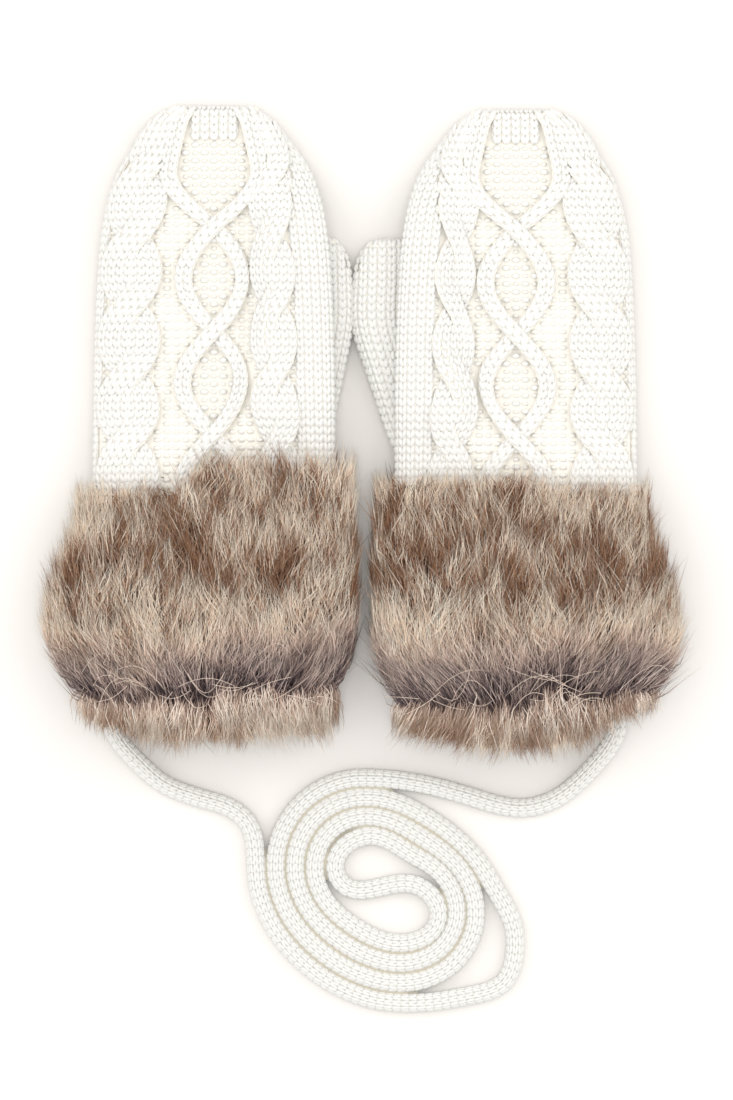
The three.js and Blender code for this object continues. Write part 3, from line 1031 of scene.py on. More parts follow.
@dataclass
class KnittedThumb:
    """Thumb of the mitten, knitted round in plain columns."""

    form: MittenForm
    hand: KnittedHand
    stitch: float = 4.3
    row: float = 3.5
    first_row: float = 6.0
    side_stitch: float = 4.0
    side_room: float = 2.0
    shell_start: float = 14.0
    shell_inset: float = 0.7
    shell_wall: float = 1.9

    def free(self, points: np.ndarray) -> np.ndarray:
        """Find which points lie outside the hand."""
        y = points[..., 1]
        width = self.form.hand_width / 2 * self.hand.narrowing(y)
        under = self.form.lift(np.stack([points[..., 0], y, self.form.hand_rise(y)], axis=-1))
        return (points[..., 2] < under[..., 2] + 0.5) | (np.abs(points[..., 0]) > width - 1.0)

    def build(self, yarn: bpy.types.Material) -> list[bpy.types.Object]:
        """Build and dress the thumb.

        Args:
            yarn: Finish of the yarn.

        Returns:
            Its pieces.
        """
        form = self.form
        cloth = Cloth(form.thumb_ring, form.thumb_root, form.thumb_tip - 0.3)
        batch = StitchBatch(cloth)
        rows = np.arange(form.thumb_root + self.first_row, form.thumb_tip - 1.0, self.row)
        quarter = cloth.girth(rows) / 4
        count = int(quarter[len(rows) // 2] // self.stitch)
        for half in (0.0, 0.5):
            for column in range(-count, count + 1):
                s = column * self.stitch + half * cloth.girth(rows)
                keep = np.abs(column * self.stitch) < quarter - self.side_room
                keep &= self.free(cloth.place(s, rows))
                batch.wale(s[keep], rows[keep], self.stitch, self.row, np.zeros(keep.sum()))
        for turn in (0.25, 0.75):
            s = turn * cloth.girth(rows)
            keep = self.free(cloth.place(s, rows))
            level = np.full(keep.sum(), 0.1)
            batch.wale(s[keep], rows[keep], self.side_stitch, self.row, level)
        shell_root = form.thumb_root + self.shell_start
        y = np.linspace(shell_root, form.thumb_tip - self.shell_inset, 40)
        angle = np.linspace(0, 2 * math.pi, 40, endpoint=False)
        points = form.thumb_ring(y[:, None], angle[None, :], -self.shell_inset)
        label = form.side.label
        return [
            shell_object(f"{label}_thumb_shell", points, form.side, yarn, self.shell_wall),
            batch.build(f"{label}_thumb_stitches", form.side, yarn, BeadDetail.FINE),
        ]


def scatter(
    random: np.random.Generator, lock: np.ndarray, of_lock: float, of_hair: float
) -> np.ndarray:
    """Draw a spread about zero for each hair, one part of it shared by its lock."""
    shared = random.normal(0.0, of_lock, lock.max() + 1)[lock]
    return shared + random.normal(0.0, of_hair, len(lock))


def vary(
    random: np.random.Generator, lock: np.ndarray, of_lock: tuple, of_hair: tuple
) -> np.ndarray:
    """Draw a factor for each hair, one part of it shared by its lock."""
    shared = random.uniform(*of_lock, lock.max() + 1)[lock]
    return shared * random.uniform(*of_hair, len(lock))


def soft_noise(
    random: np.random.Generator, x: np.ndarray, y: np.ndarray, cell: tuple[float, float]
) -> np.ndarray:
    """Read a soft random field, from 0 to 1, at places on a plane.

    Args:
        random: Source of chance.
        x: Places across.
        y: Places along.
        cell: Size of its patches across and along.

    Returns:
        The values.
    """
    grid = random.random((90, 90))
    u = np.clip(x / cell[0] + 44.0, 0.0, 88.0)
    v = np.clip(y / cell[1] + 30.0, 0.0, 88.0)
    i, j = u.astype(int), v.astype(int)
    a, b = smooth(u - i), smooth(v - j)
    low = grid[i, j] * (1 - a) + grid[i + 1, j] * a
    high = grid[i, j + 1] * (1 - a) + grid[i + 1, j + 1] * a
    return low * (1 - b) + high * b


@dataclass
class FurCuff:
    """Fur cuff: a lined backing with long soft fur that parts above the hem."""

    form: MittenForm
    seed: int
    top_edge: tuple[float, float]
    hem_edge: float
    hem_curve: float
    hem_lift: float
    parting: tuple[float, float]
    fan: float
    shoulder: float
    bulge: float
    taper: float = 0.25
    pile: float = 10.5
    thumb_side_pile: float = 8.5
    upper_locks: int = 2600
    hem_locks: int = 700
    hairs: int = 8
    stray_hairs: int = 26
    lock_spread: float = 2.6
    gather: float = 0.5
    length: float = 20.0
    shortest: float = 6.0
    radius: float = 0.2
    middle: float = -4.0
    top_share: float = 0.8
    top_span: float = 0.62

    # Shares of a hair at its three points: of the way, of its height and of its length
    STEPS = np.array([0.0, 0.45, 1.0])
    RISES = np.array([0.0, 0.78, 1.0])
    RUNS = np.array([0.0, 0.36, 1.0])
    # Where a change across the cuff starts, and how wide it is
    THUMB_SIDE, OUTER_SIDE, UNDERNEATH = (20.0, 30.0), (40.0, 22.0), (0.2, 0.6)
    TOP_STEP, PARTING_STEP, HEM_LIFTED = (-14.0, 12.0), (-18.0, 24.0), (15.0, 50.0)
    # The same along the cuff, and the fullest place with its half width
    SHOULDER, FANNED, BULGE, DRAWN_BELOW = (46.0, 48.0), (-48.0, 34.0), (42.0, 18.0), 44.0
    # Lowest roots of each kind of fur, and how far they reach
    UPPER_ROOTS, HEM_ROOTS = (20.0, 85.0), (0.0, 12.0)
    # Least height of a hair over the ground
    LOWEST = 0.4
    # Weights and sizes of the patches of brown
    PATCHES = ((0.32, (9.0, 12.0)), (0.38, (2.8, 8.0)), (0.3, (1.4, 5.0)))
    NEAR_PATCHES = (13.0, 30.0)
    # Bands of darker and paler fur: middle and half width, and by how much
    DARK_BAND, DARK_SHIFT, PALE_BAND, PALE_SHIFT = (82.0, 16.0), 0.13, (46.0, 14.0), 0.1
    # Shades at a hair's three points, and what is taken off or added near the parting
    UPPER_TONE, NEAR_TONE = np.array([0.24, 0.74, 1.0]), np.array([0.24, 0.58, 0.12])
    NEAR_COOL, HEM_COOL = np.array([1.0, 0.9, 0.3]), np.array([0.9, 0.3, 0.0])
    HEM_BROWN, HEM_TIP_BROWN = np.array([0.3, 0.05, 0.2]), np.array([0.0, 0.6, 0.8])
    HEM_TONE = np.array([0.08, 0.74, 0.96])
    # Loose hairs: span round, start over the parting, length, bow and shades
    STRAY_SPAN, STRAY_START, STRAY_RUN, STRAY_BOW = (-58.0, 50.0), (2.0, 5.0), (12.0, 32.0), 5.0
    STRAY_SHADES = (0.7, 0.0, 0.25)

    def __post_init__(self) -> None:
        """Lay out the cloth that the fur grows from."""
        form = self.form
        self.cloth = Cloth(
            lambda y, angle: form.cuff_ring(y, angle, form.cuff_wall), 0.0, form.cuff_length
        )

    def backing(self, base: bpy.types.Material, lining: bpy.types.Material) -> bpy.types.Object:
        """Make the backing, dark under the fur and plain inside.

        Args:
            base: Finish under the fur.
            lining: Finish of the inside.

        Returns:
            The object.
        """
        form = self.form
        angle = np.linspace(0, 2 * math.pi, 72, endpoint=False)
        hem_x = form.cuff_ring(np.zeros(1), angle)[:, 0]
        top_x = form.cuff_ring(np.full(1, form.cuff_length), angle)[:, 0]
        low = np.maximum(self.hem_limit(hem_x) + 3.0, 0.0)
        high = np.minimum(self.top_limit(top_x) - 3.5, form.cuff_length)
        share = np.linspace(0.0, 1.0, 40)[:, None]
        points = form.cuff_ring(low + (high - low) * share, angle[None, :], form.cuff_wall)
        self.draw_in(points, np.full((1, 1), self.taper))
        placed = to_row_frame(points.reshape(-1, 3), form.side)
        faces = grid_faces(len(share), len(angle), True)
        name = f"{form.side.label}_cuff_backing"
        obj = mesh_object(name, placed, faces, base, None, form.side is Side.LEFT)
        obj.data.materials.append(lining)
        wall = obj.modifiers.new("Wall", "SOLIDIFY")
        wall.thickness = form.cuff_wall * MM
        wall.offset = -1.0
        wall.material_offset = 1
        wall.material_offset_rim = 1
        return obj

    def top_limit(self, x: np.ndarray) -> np.ndarray:
        """Where the tips of the upper fur end, over the hand."""
        outer, inner = self.top_edge
        return outer + (inner - outer) * rise(x, *self.TOP_STEP)

    def hem_limit(self, x: np.ndarray) -> np.ndarray:
        """Where the tips of the hem's fur end."""
        curve = self.hem_curve * ((x - self.middle) / 58.0) ** 2
        return self.hem_edge + curve + self.hem_lift * rise(-x, *self.HEM_LIFTED)

    def part_line(self, x: np.ndarray) -> np.ndarray:
        """Where the fur parts above the hem."""
        outer, inner = self.parting
        wave = 1.5 * np.sin(x / 6.5 + self.seed) + 0.9 * np.sin(x / 2.9)
        return outer + (inner - outer) * rise(x, *self.PARTING_STEP) + wave

    def root_span(self, x: np.ndarray, upwards: bool) -> tuple[np.ndarray, np.ndarray]:
        """Lowest and highest places where locks grow, under either kind of fur."""
        if upwards:
            high = np.minimum(self.top_limit(x) - 5.5, self.form.cuff_length - 2.0)
            return self.part_line(x) - 4.5, high
        return np.maximum(self.hem_limit(x) + 4.0, 2.0), self.part_line(x) + 2.5

    def pile_depth(self, x: np.ndarray, y: np.ndarray, out: np.ndarray) -> np.ndarray:
        """Find how deep the pile is at the roots.

        Args:
            x: Their places across.
            y: Their places along.
            out: Outward directions of the cloth there.

        Returns:
            Depths, less underneath and less or more along the outer side.
        """
        inner, outer = rise(x, *self.THUMB_SIDE), rise(-x, *self.OUTER_SIDE)
        underneath = rise(-out[:, 2], *self.UNDERNEATH)
        pile = self.pile + (self.thumb_side_pile - self.pile) * inner
        bulge = self.bulge * band(y, *self.BULGE)
        pile = pile * (1 + outer * (bulge - self.shoulder * rise(y, *self.SHOULDER)))
        return pile * (1 - 0.7 * underneath)

    def grow(
        self, random: np.random.Generator, flow: Flow, count: int
    ) -> tuple[np.ndarray, dict[str, np.ndarray]]:
        """Work out the middle line of every hair.

        Args:
            random: Source of chance.
            flow: Which way the locks lie.
            count: Number of locks.

        Returns:
            Points along each hair, and the values that colour them.
        """
        form = self.form
        upwards = flow is Flow.TO_FINGERS
        share = random.random(count)
        # More locks on the top and the sides than underneath
        on_top = random.random(count) < self.top_share
        span = self.top_span
        turn = np.where(on_top, (share - 0.5) * span, span / 2 + share * (1 - span))
        along = random.random(count)
        # A first guess of each root's place tells how far the fur reaches there
        first, reach = self.UPPER_ROOTS if upwards else self.HEM_ROOTS
        guess = first + reach * along
        place = self.cloth.place(turn * self.cloth.girth(guess), guess)
        low, high = self.root_span(place[:, 0], upwards)
        root_y = low + (high - low) * along
        total = count * self.hairs
        lock = np.repeat(np.arange(count), self.hairs)
        around = random.normal(0.0, self.lock_spread, (total, 2))
        s = turn[lock] * self.cloth.girth(root_y[lock]) + around[:, 0]
        y = np.clip(root_y[lock] + around[:, 1], 0.5, form.cuff_length - 0.5)
        root, out = self.cloth.place(s, y), self.cloth.normal(s, y)
        x = root[:, 0]
        pile = self.pile_depth(x, y, out)
        length = self.length * vary(random, lock, (0.8, 1.15), (0.7, 1.1))
        tuft = scatter(random, lock, 3.2 if upwards else 3.6, 1.4)
        room = tuft + (self.top_limit(x) - y if upwards else y - self.hem_limit(x))
        room = np.maximum(room, 3.0) * 1.08
        length = np.clip(np.minimum(length, room), self.shortest, None)
        swirl = 0.13 * np.sin(root_y / 11.0 + turn * 23.0 + self.seed)
        lean = swirl[lock] + scatter(random, lock, 0.24, 0.14)
        curl = scatter(random, lock, 0.13, 0.07)
        fan = self.fan * (x - self.middle) / 60.0
        lean = lean + fan * rise(-y, *self.FANNED)
        height = vary(random, lock, (0.65, 1.0), (0.7, 1.15))
        side = unit(np.cross(np.array([0.0, 1.0, 0.0]), out))
        points = np.empty((total, len(self.STEPS), 3))
        for k, step in enumerate(self.STEPS):
            drawn = -self.gather * step**1.3
            run = self.RUNS[k] * length
            across = around[:, 0] * drawn + lean * run + curl * length * math.sin(math.pi * step)
            standing = pile * height * self.RISES[k]
            points[:, k] = root + out * standing[:, None] + side * across[:, None]
            points[:, k, 1] += around[:, 1] * drawn + flow.value * run
        self.draw_in(points, random.normal(self.taper, 0.04, (total, 1)))
        return points, self.colour(random, lock, y, points[:, -1], upwards)

    def draw_in(self, points: np.ndarray, share: np.ndarray) -> None:
        """Draw the fur in towards the middle below the parting, and keep it off the ground."""
        drawn = share * smooth((self.DRAWN_BELOW - points[..., 1]) / self.DRAWN_BELOW)
        drawn = drawn * (0.55 + 0.45 * smooth(-points[..., 0] / 30.0))
        points[..., 0] -= drawn * (points[..., 0] - self.middle)
        points[..., 2] = np.maximum(points[..., 2], self.LOWEST)

    def colour(
        self, random: np.random.Generator, lock: np.ndarray, y: np.ndarray, tip: np.ndarray,
        upwards: bool,
    ) -> dict[str, np.ndarray]:
        """Shade the hairs from dark roots to pale tips, with soft brown patches.

        Args:
            random: Source of chance.
            lock: Number of each hair's lock.
            y: Place along where each hair grows.
            tip: Tip of each hair.
            upwards: Whether the hairs lie towards the fingertips.

        Returns:
            Tone, brownness and coolness by hair and step.
        """
        x, along = tip[:, 0], tip[:, 1]
        field = sum(weight * soft_noise(random, x, along, cell) for weight, cell in self.PATCHES)
        field = field + scatter(random, lock, 0.08, 0.05)
        own = scatter(random, lock, 0.09, 0.1)
        if upwards:
            shift = self.DARK_SHIFT * band(along, *self.DARK_BAND)
            shift = shift - self.PALE_SHIFT * band(along, *self.PALE_BAND)
            depth = soft_noise(random, x, along, self.NEAR_PATCHES)
            near = smooth((self.part_line(x) + 18.0 + 12.0 * depth - y) / 22.0)
            near = near * np.clip(0.72 + 0.75 * depth, 0.0, 1.0)
            brown = smooth((field - 0.58 + shift) / 0.14 + 0.5)
            brown = (brown * (1 - 0.7 * near))[:, None] * np.ones(3)
            tone = self.UPPER_TONE - near[:, None] * self.NEAR_TONE
            cool = near[:, None] * self.NEAR_COOL
        else:
            tips = smooth((field - 0.5) / 0.12 + 0.5)
            brown = self.HEM_BROWN + tips[:, None] * self.HEM_TIP_BROWN
            tone = self.HEM_TONE
            cool = smooth((y - 8.0) / 10.0)[:, None] * self.HEM_COOL
        tone = np.clip(tone + own[:, None], 0.0, 1.0)
        return {"tone": tone, "brown": brown, "cool": cool}

    def strays(self, random: np.random.Generator) -> tuple[np.ndarray, dict[str, np.ndarray]]:
        """Work out long pale hairs that lie loose across the parting.

        Args:
            random: Source of chance.

        Returns:
            Points along each hair, and the values that colour them.
        """
        count = self.stray_hairs
        steps = np.linspace(0.0, 1.0, 8)[None, :]
        s = random.uniform(*self.STRAY_SPAN, (count, 1))
        y = max(self.parting) + random.normal(*self.STRAY_START, (count, 1))
        heading = random.normal(0.0, 0.5, (count, 1))
        run = random.uniform(*self.STRAY_RUN, (count, 1)) * random.choice([-1.0, 1.0], (count, 1))
        bow = random.normal(0.0, self.STRAY_BOW, (count, 1)) * np.sin(math.pi * steps)
        along = y + np.abs(run) * np.sin(heading) * steps + bow
        around = np.clip(s + run * np.cos(heading) * steps, -70.0, 66.0)
        along = np.clip(along, 4.0, 60.0)
        lift = self.pile * random.uniform(0.85, 1.1, (count, 1)) * (0.75 + 0.3 * steps)
        points = self.cloth.place(around, along)
        points = points + self.cloth.normal(around, along) * lift[..., None]
        self.draw_in(points, np.full((count, 1), self.taper))
        flat = np.ones((count, steps.shape[1]))
        shades = zip(("tone", "brown", "cool"), self.STRAY_SHADES)
        return points, {name: shade * flat for name, shade in shades}

    # A direction that no hair lies in, to turn its sides by
    ASIDE = (0.31, 0.17, 0.93)

    def hair_object(
        self, name: str, lines: np.ndarray, values: dict[str, np.ndarray], radius: float,
        finish: bpy.types.Material,
    ) -> bpy.types.Object:
        """Make slender three-sided hairs round their middle lines.

        Args:
            name: Last part of the object's name.
            lines: Points along each hair.
            values: Values that colour them, at each point.
            radius: Radius of a hair.
            finish: Their finish.

        Returns:
            The object.
        """
        total, count = lines.shape[:2]
        ahead = unit(np.gradient(lines, axis=1))
        right = unit(np.cross(ahead, np.array(self.ASIDE)))
        up = np.cross(right, ahead)
        radii = radius * np.linspace(1.0, 0.85, count - 1)
        angle = 2 * math.pi * np.arange(3) / 3
        cos, sin = np.cos(angle)[:, None], np.sin(angle)[:, None]
        ring = right[:, :-1, None] * cos + up[:, :-1, None] * sin
        rings = lines[:, :-1, None] + ring * radii[None, :, None, None]
        body = rings.reshape(total, 3 * (count - 1), 3)
        points = np.concatenate([body, lines[:, -1:]], axis=1).reshape(-1, 3)
        shades = {
            key: np.concatenate([np.repeat(value[:, :-1], 3, axis=1), value[:, -1:]], axis=1)
            for key, value in values.items()
        }
        last, tip = 3 * (count - 2), 3 * (count - 1)
        cap = np.array([[last + k, last + (k + 1) % 3, tip, tip] for k in range(3)])
        one = np.concatenate([grid_faces(count - 1, 3, True), cap])
        faces = (one[None] + np.arange(total)[:, None, None] * (tip + 1)).reshape(-1, 4)
        placed = to_row_frame(points, self.form.side)
        placed[:, 2] = np.maximum(placed[:, 2], 0.0)
        flat = {key: value.reshape(-1) for key, value in shades.items()}
        side = self.form.side
        return mesh_object(
            f"{side.label}_cuff_{name}", placed, faces, finish, flat, side is Side.RIGHT
        )

    def build(
        self, hair: bpy.types.Material, base: bpy.types.Material, lining: bpy.types.Material
    ) -> list[bpy.types.Object]:
        """Build and dress the cuff.

        Args:
            hair: Finish of the fur.
            base: Finish of the backing under it.
            lining: Finish of the inside.

        Returns:
            Its pieces.
        """
        random = np.random.default_rng(self.seed)
        upper = self.grow(random, Flow.TO_FINGERS, self.upper_locks)
        hem = self.grow(random, Flow.TO_HEM, self.hem_locks)
        return [
            self.backing(base, lining),
            self.hair_object("upper_fur", *upper, self.radius, hair),
            self.hair_object("hem_fur", *hem, self.radius, hair),
            self.hair_object("stray_hairs", *self.strays(random), 0.6 * self.radius, hair),
        ]


@dataclass
class KnittedCord:
    """The cord: a knitted tube from cuff to cuff, coiled between them in a flat double spiral."""

    diameter: float = 8.2
    coil_x: float = 10.1
    coil_y: float = -199.5
    coil_radius: float = 50.2
    coil_oval: float = 5.3
    coil_oval_turn: float = 39.0
    coil_shift: float = 3.2
    coil_shift_turn: float = 236.0
    coil_pitch: float = 17.6
    arm_turns: float = 1.55
    slack: float = 14.5
    slack_turn: float = 325.5
    slack_span: float = 22.0
    core_inset: float = 0.9
    core_sides: int = 12
    columns: int = 8
    row: float = 3.6
    stitch_inset: float = 0.75
    leg_foot: float = 0.08
    leg_head: float = 0.28
    leg_sink: float = 0.25
    leg_rise: float = 0.1
    yarn_radius: float = 0.92
    yarn_bulge: float = 0.2
    # A sheet in the grooves between touching turns, coloured darker as painted shade
    shade_sheet_reach: float = 4.4
    shade_sheet_height: float = 1.0
    shade_sheet_half: float = 1.0
    shade_sheet_swell: float = 0.5
    shade_sheet_drop: float = 3.2
    shade_sheet_lowest: float = -3.6
    shade_sheet_sag: float = 0.25
    shade_sheet_widest: float = 0.75
    shade_sheet_overlap: int = 24
    shade_sheet_own_rows: int = 15

    SHADE_SHEET_SIDES = np.array([-1.0, 0.0, 1.0])

    # From inside each cuff outwards
    LEFT_RUN = (
        (-107.0, -106.0, 13.3), (-109.5, -118.0, 13.3), (-111.2, -127.5, 13.2),
        (-108.5, -135.0, 11.6), (-99.5, -145.5, 8.3), (-88.5, -155.2, 4.7),
        (-74.0, -160.8, 4.1), (-60.7, -164.8, 4.1), (-52.3, -170.8, 4.1),
        (-48.9, -179.0, 4.1), (-48.2, -188.5, 4.1),
    )
    RIGHT_RUN = (
        (107.0, -106.0, 13.3), (109.5, -118.0, 13.3), (111.2, -128.5, 13.2),
        (108.5, -136.5, 11.6), (102.0, -145.5, 8.4), (92.0, -156.0, 4.7),
        (82.0, -162.6, 4.1), (70.0, -165.6, 4.1), (59.4, -164.3, 4.1),
        (46.2, -160.4, 4.1), (28.6, -155.6, 4.1),
    )
    # The middle of the coil, from the left arm to the right arm
    MIDDLE = (
        (-4.4, -179.3, 4.1), (-10.45, -183.7, 4.1), (-13.4, -190.3, 4.1), (-11.55, -197.45, 4.1),
        (-5.5, -201.85, 4.1), (3.3, -201.3, 4.1), (12.1, -199.3, 4.1), (19.8, -198.7, 4.1),
        (26.4, -201.3, 4.1), (31.35, -206.8, 4.1), (32.9, -212.3, 4.1), (31.35, -218.35, 4.1),
        (26.4, -222.75, 4.1),
    )

    def arm(self, start: float, first: float, last: float, slack: float) -> np.ndarray:
        """Points of one arm of the spiral, eighteen for each turn.

        Args:
            start: Angle at which its first turn is counted, in degrees.
            first: Turns at its outer end.
            last: Turns at its inner end.
            slack: How far its loose outer bend strays from the spiral.

        Returns:
            The points, from the outside in.
        """
        turns = np.linspace(first, last, int((last - first) * 18) + 2)
        degrees = start + 360.0 * turns
        angle = np.radians(degrees)
        distance = (
            self.coil_radius
            + self.coil_oval * np.cos(2 * np.radians(degrees + self.coil_oval_turn))
            + self.coil_shift * np.cos(np.radians(degrees - self.coil_shift_turn))
            - self.coil_pitch * turns
            + slack * band(degrees, self.slack_turn, self.slack_span)
        )
        x = self.coil_x + distance * np.cos(angle)
        y = self.coil_y + distance * np.sin(angle)
        return np.stack([x, y, np.full(len(turns), self.diameter / 2)], axis=1)

    def route(self) -> np.ndarray:
        """Chosen points of the whole cord, from the left cuff to the right one."""
        left = self.arm(270.0, -0.24, self.arm_turns, self.slack)
        right = self.arm(90.0, 0.01, self.arm_turns, 0.0)
        return np.concatenate([
            np.array(self.LEFT_RUN), left, np.array(self.MIDDLE), right[::-1],
            np.array(self.RIGHT_RUN)[::-1],
        ])

    def path(self) -> np.ndarray:
        """Smooth centreline through the chosen points, at even steps."""
        knots = self.route()
        gaps = np.linalg.norm(np.diff(knots, axis=0), axis=1) ** 0.5
        t = np.concatenate([[0.0], np.cumsum(gaps)])
        slopes = np.gradient(knots, t, axis=0)
        fine = np.linspace(0.0, t[-1], 40 * len(knots))
        i = np.clip(np.searchsorted(t, fine) - 1, 0, len(t) - 2)
        step = (t[i + 1] - t[i])[:, None]
        u = (fine - t[i])[:, None] / step
        curve = curve_between(u, step, (knots[i], knots[i + 1]), (slopes[i], slopes[i + 1]))
        length = np.concatenate([[0.0], np.cumsum(np.linalg.norm(np.diff(curve, axis=0), axis=1))])
        even = np.arange(0.0, length[-1], self.row / 2)
        return np.stack([np.interp(even, length, curve[:, k]) for k in range(3)], axis=1)

    def build(
        self, yarn: bpy.types.Material, groove_shade: bpy.types.Material
    ) -> list[bpy.types.Object]:
        """Args:
            yarn: Finish of the yarn.
            groove_shade: Finish of the sheet between its turns, darker as painted shade.

        Returns:
            Its pieces.
        """
        path = self.path()
        ahead = unit(np.gradient(path, axis=0))
        right = unit(np.cross(ahead, np.array([0.0, 0.0, 1.0])))
        up = np.cross(right, ahead)
        sides = self.core_sides
        angle = 2 * math.pi * np.arange(sides) / sides
        rim = right[:, None] * np.cos(angle)[:, None] + up[:, None] * np.sin(angle)[:, None]
        tube = (path[:, None] + rim * (self.diameter / 2 - self.core_inset)).reshape(-1, 3)
        points = np.concatenate([tube, path[[0, -1]]])
        faces = np.concatenate([
            grid_faces(len(path), sides, True)[:, ::-1],
            cap_faces(0, sides, len(tube)),
            cap_faces(len(tube) - sides, sides, len(tube) + 1, True),
        ])
        # The core under the stitches takes the full painted recess colour, as painted shade
        shade = np.zeros(len(points))
        core_piece = mesh_object("cord_core", points * MM, faces, yarn, {"depth": shade})
        stitches = self.stitches(path, right, up, yarn)
        shade_sheet = self.shade_sheet(path, right, groove_shade)
        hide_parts("cord_left", "cord_right", "cord_coil")
        return [core_piece, stitches, shade_sheet]

    def shade_sheet(
        self, path: np.ndarray, right: np.ndarray, yarn: bpy.types.Material
    ) -> bpy.types.Object:
        """Make the sheet that fills the grooves between turns pressed together, darker as painted
        shade.

        Args:
            path: Centreline at steps of half a row.
            right: Direction to the right of it.
            yarn: Its finish, darker as painted shade in the grooves.

        Returns:
            The object.
        """
        points, faces = [], []
        reach = self.shade_sheet_reach
        rows = np.arange(len(path) // 2 + self.shade_sheet_overlap)
        apart = np.abs(rows[:, None] - np.arange(len(path))[None, :])
        for hand in (-1.0, 1.0):
            groove = path[rows] + hand * reach * right[rows]
            gap = np.linalg.norm(groove[:, None] - path[None, :], axis=2)
            gap[apart < self.shade_sheet_own_rows] = np.inf
            spare = np.maximum(gap.min(axis=1) - reach, 0.0)
            near = spare < self.shade_sheet_widest
            half = (self.shade_sheet_half + self.shade_sheet_swell * spare)[:, None, None]
            sheet = groove[:, None] + right[rows][:, None] * half * self.SHADE_SHEET_SIDES[:, None]
            height = np.maximum(self.shade_sheet_height - self.shade_sheet_drop * spare, self.shade_sheet_lowest)
            sheet[..., 2] += height[:, None]
            sheet[:, [0, 2], 2] -= self.shade_sheet_sag
            cells = grid_faces(len(groove), 3, False).reshape(-1, 2, 4)
            kept = cells[near[:-1] & near[1:]].reshape(-1, 4)
            faces.append(kept + len(groove) * 3 * len(points))
            points.append(sheet.reshape(-1, 3))
        every, corners = np.concatenate(points), np.concatenate(faces)
        used, corners = np.unique(corners, return_inverse=True)
        # The sheet takes its finish's darker painted recess colour: painted shade in the grooves
        shade = np.zeros(len(used))
        corners = corners.reshape(-1, 4)
        return mesh_object("cord_shade_sheet", every[used] * MM, corners, yarn, {"depth": shade})

    def stitches(
        self, path: np.ndarray, right: np.ndarray, up: np.ndarray, yarn: bpy.types.Material
    ) -> bpy.types.Object:
        """Make the knit stitches round the cord.

        Args:
            path: Centreline at steps of half a row.
            right: Direction to the right of it.
            up: Direction up from it.
            yarn: Finish of the yarn.

        Returns:
            The object.
        """
        radius = self.diameter / 2 - self.stitch_inset
        here = np.arange(1, len(path) - 2, 2)

        def out(at: np.ndarray, angle: float) -> np.ndarray:
            """Direction out from the centreline, at an angle round it."""
            return right[at] * math.cos(angle) + up[at] * math.sin(angle)

        starts, ends, outs = [], [], []
        for column in range(self.columns):
            middle = 2 * math.pi * column / self.columns
            for hand in (-1.0, 1.0):
                foot, head = middle + hand * self.leg_foot, middle + hand * self.leg_head
                starts.append(path[here - 1] + (radius - self.leg_sink) * out(here - 1, foot))
                ends.append(path[here + 2] + (radius + self.leg_rise) * out(here + 2, head))
                outs.append(out(here, middle))
        start, end, outward = (np.concatenate(part) for part in (starts, ends, outs))
        total = len(start)
        sizes = np.full(total, self.yarn_radius), np.full(total, self.yarn_bulge), np.ones(total)
        points, faces, shade = join_beads(start, end, outward, sizes, BeadDetail.PLAIN)
        points[:, 2] = np.maximum(points[:, 2], 0.0)
        return mesh_object("cord_stitches", points * MM, faces, yarn, {"depth": shade})


@dataclass
class Studio:
    """Pale surface, soft lights and the camera straight above."""

    camera_height: float = 2.6
    focus_height: float = 0.012
    view_height: float = 0.484
    centre_x: float = 0.0007
    centre_y: float = -0.0517
    film: float = 36.0
    surface_half: float = 9.0
    surface_gap: float = 0.0002
    surface_colour: Colour = (0.83, 0.805, 0.775)
    sky: float = 0.88

    # Name, place, size and power of each lamp
    LAMPS = (
        ("left_lamp", (-0.9, 0.25, 1.2), 1.2, 5.0),
        ("right_lamp", (0.95, 0.35, 1.2), 1.2, 5.0),
        ("top_lamp", (0.0, -0.05, 2.9), 1.0, 24.0),
    )

    def camera(self) -> None:
        """Place the camera at the photo's angle."""
        data = bpy.data.cameras.new("Camera")
        data.sensor_width = self.film
        data.lens = self.film * (self.camera_height - self.focus_height) / self.view_height
        camera = bpy.data.objects.new("Camera", data)
        camera.location = (self.centre_x, self.centre_y, self.camera_height)
        bpy.context.scene.collection.objects.link(camera)
        bpy.context.scene.camera = camera

    def surface(self) -> None:
        """Lay the pale surface."""
        shape = bmesh.new()
        bmesh.ops.create_grid(shape, x_segments=1, y_segments=1, size=self.surface_half)
        bmesh.ops.translate(shape, verts=shape.verts, vec=(0.0, 0.0, -self.surface_gap))
        mesh = bpy.data.meshes.new("surface")
        shape.to_mesh(mesh)
        shape.free()
        finish = Recipe("pale_surface")
        numbers = {"Roughness": 0.9, "Specular IOR Level": 0.1}
        mesh.materials.append(finish.done(self.surface_colour, numbers))
        floor = bpy.data.objects.new("surface", mesh)
        bpy.context.scene.collection.objects.link(floor)

    def lights(self) -> None:
        """Set an even white sky and broad soft lamps to each side and above."""
        world = bpy.data.worlds.new("Studio")
        world.use_nodes = True
        sky = world.node_tree.nodes["Background"]
        sky.inputs["Color"].default_value = (1.0, 0.995, 0.99, 1.0)
        sky.inputs["Strength"].default_value = self.sky
        bpy.context.scene.world = world
        for name, place, size, power in self.LAMPS:
            data = bpy.data.lights.new(name, "AREA")
            data.size = size
            data.energy = power
            light = bpy.data.objects.new(name, data)
            light.location = place
            away = -np.array(place)
            flat = math.hypot(away[0], away[1])
            tilt = math.atan2(flat, -away[2])
            light.rotation_euler = (tilt, 0.0, math.atan2(away[1], away[0]) - math.pi / 2)
            bpy.context.scene.collection.objects.link(light)

    def build(self) -> None:
        """Set up the whole studio."""
        self.camera()
        self.surface()
        self.lights()
        bpy.context.scene.view_settings.view_transform = "Standard"


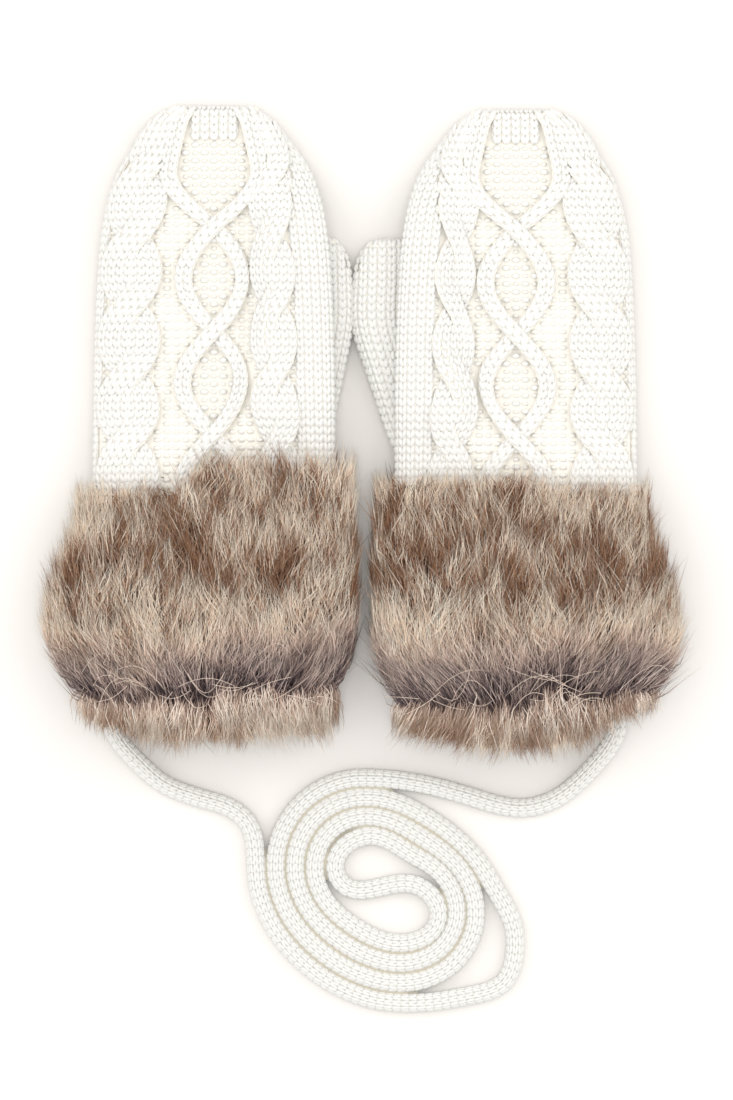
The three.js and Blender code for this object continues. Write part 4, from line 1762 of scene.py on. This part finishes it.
@dataclass(frozen=True)
class Finishes:
    """Materials that the mittens share."""

    yarn: bpy.types.Material
    # Darker yarn of the sheet in the cord's grooves, as painted shade
    groove_shade: bpy.types.Material
    fur: bpy.types.Material
    under_fur: bpy.types.Material
    lining: bpy.types.Material


@dataclass
class Mitten:
    """One whole mitten: its hand, thumb and fur cuff."""

    form: MittenForm
    cuff: FurCuff

    def build(self, finishes: Finishes) -> None:
        """Build the mitten and hide the parts of the model that its pieces take the place of.

        Args:
            finishes: The materials.
        """
        hand = KnittedHand(self.form)
        thumb = KnittedThumb(self.form, hand)
        fur = self.cuff.build(finishes.fur, finishes.under_fur, finishes.lining)
        for part, slot, pieces in (
            ("hand", "knit", hand.build(finishes.yarn)),
            ("thumb", "knit", thumb.build(finishes.yarn)),
            ("cuff", "fur", fur),
        ):
            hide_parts(f"{self.form.side.label}_{part}")


def main() -> None:
    """Build every piece in order and report it."""
    logging.basicConfig(level=logging.INFO, format="%(message)s")
    Studio().build()
    finishes = Finishes(
        YarnFinish("wool_yarn").material(),
        # Darker painted recess colour for the sheet in the cord's grooves: painted shade
        YarnFinish("groove_shade_wool", painted_recess_colour=(0.6, 0.555, 0.45)).material(),
        FurFinish("brown_fur").material(),
        ClothFinish("fur_base", (0.07, 0.05, 0.042)).material(),
        ClothFinish("cream_lining", (0.66, 0.6, 0.5)).material(),
    )
    for piece in KnittedCord().build(finishes.yarn, finishes.groove_shade):
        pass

    left, right = MittenForm(Side.LEFT, 43.2), MittenForm(Side.RIGHT, 54.2)
    left_cuff = FurCuff(
        left, seed=11, top_edge=(107.5, 125.5), hem_edge=-1.8, hem_curve=7.0, hem_lift=3.0,
        parting=(15.0, 20.0), fan=0.35, shoulder=0.45, bulge=0.35,
    )
    right_cuff = FurCuff(
        right, seed=23, top_edge=(109.5, 113.5), hem_edge=-4.2, hem_curve=12.0, hem_lift=8.0,
        parting=(18.0, 14.5), fan=0.75, shoulder=0.9, bulge=-0.1,
    )
    for cuff in (left_cuff, right_cuff):
        Mitten(cuff.form, cuff).build(finishes)


if __name__ == "__main__":
    main()
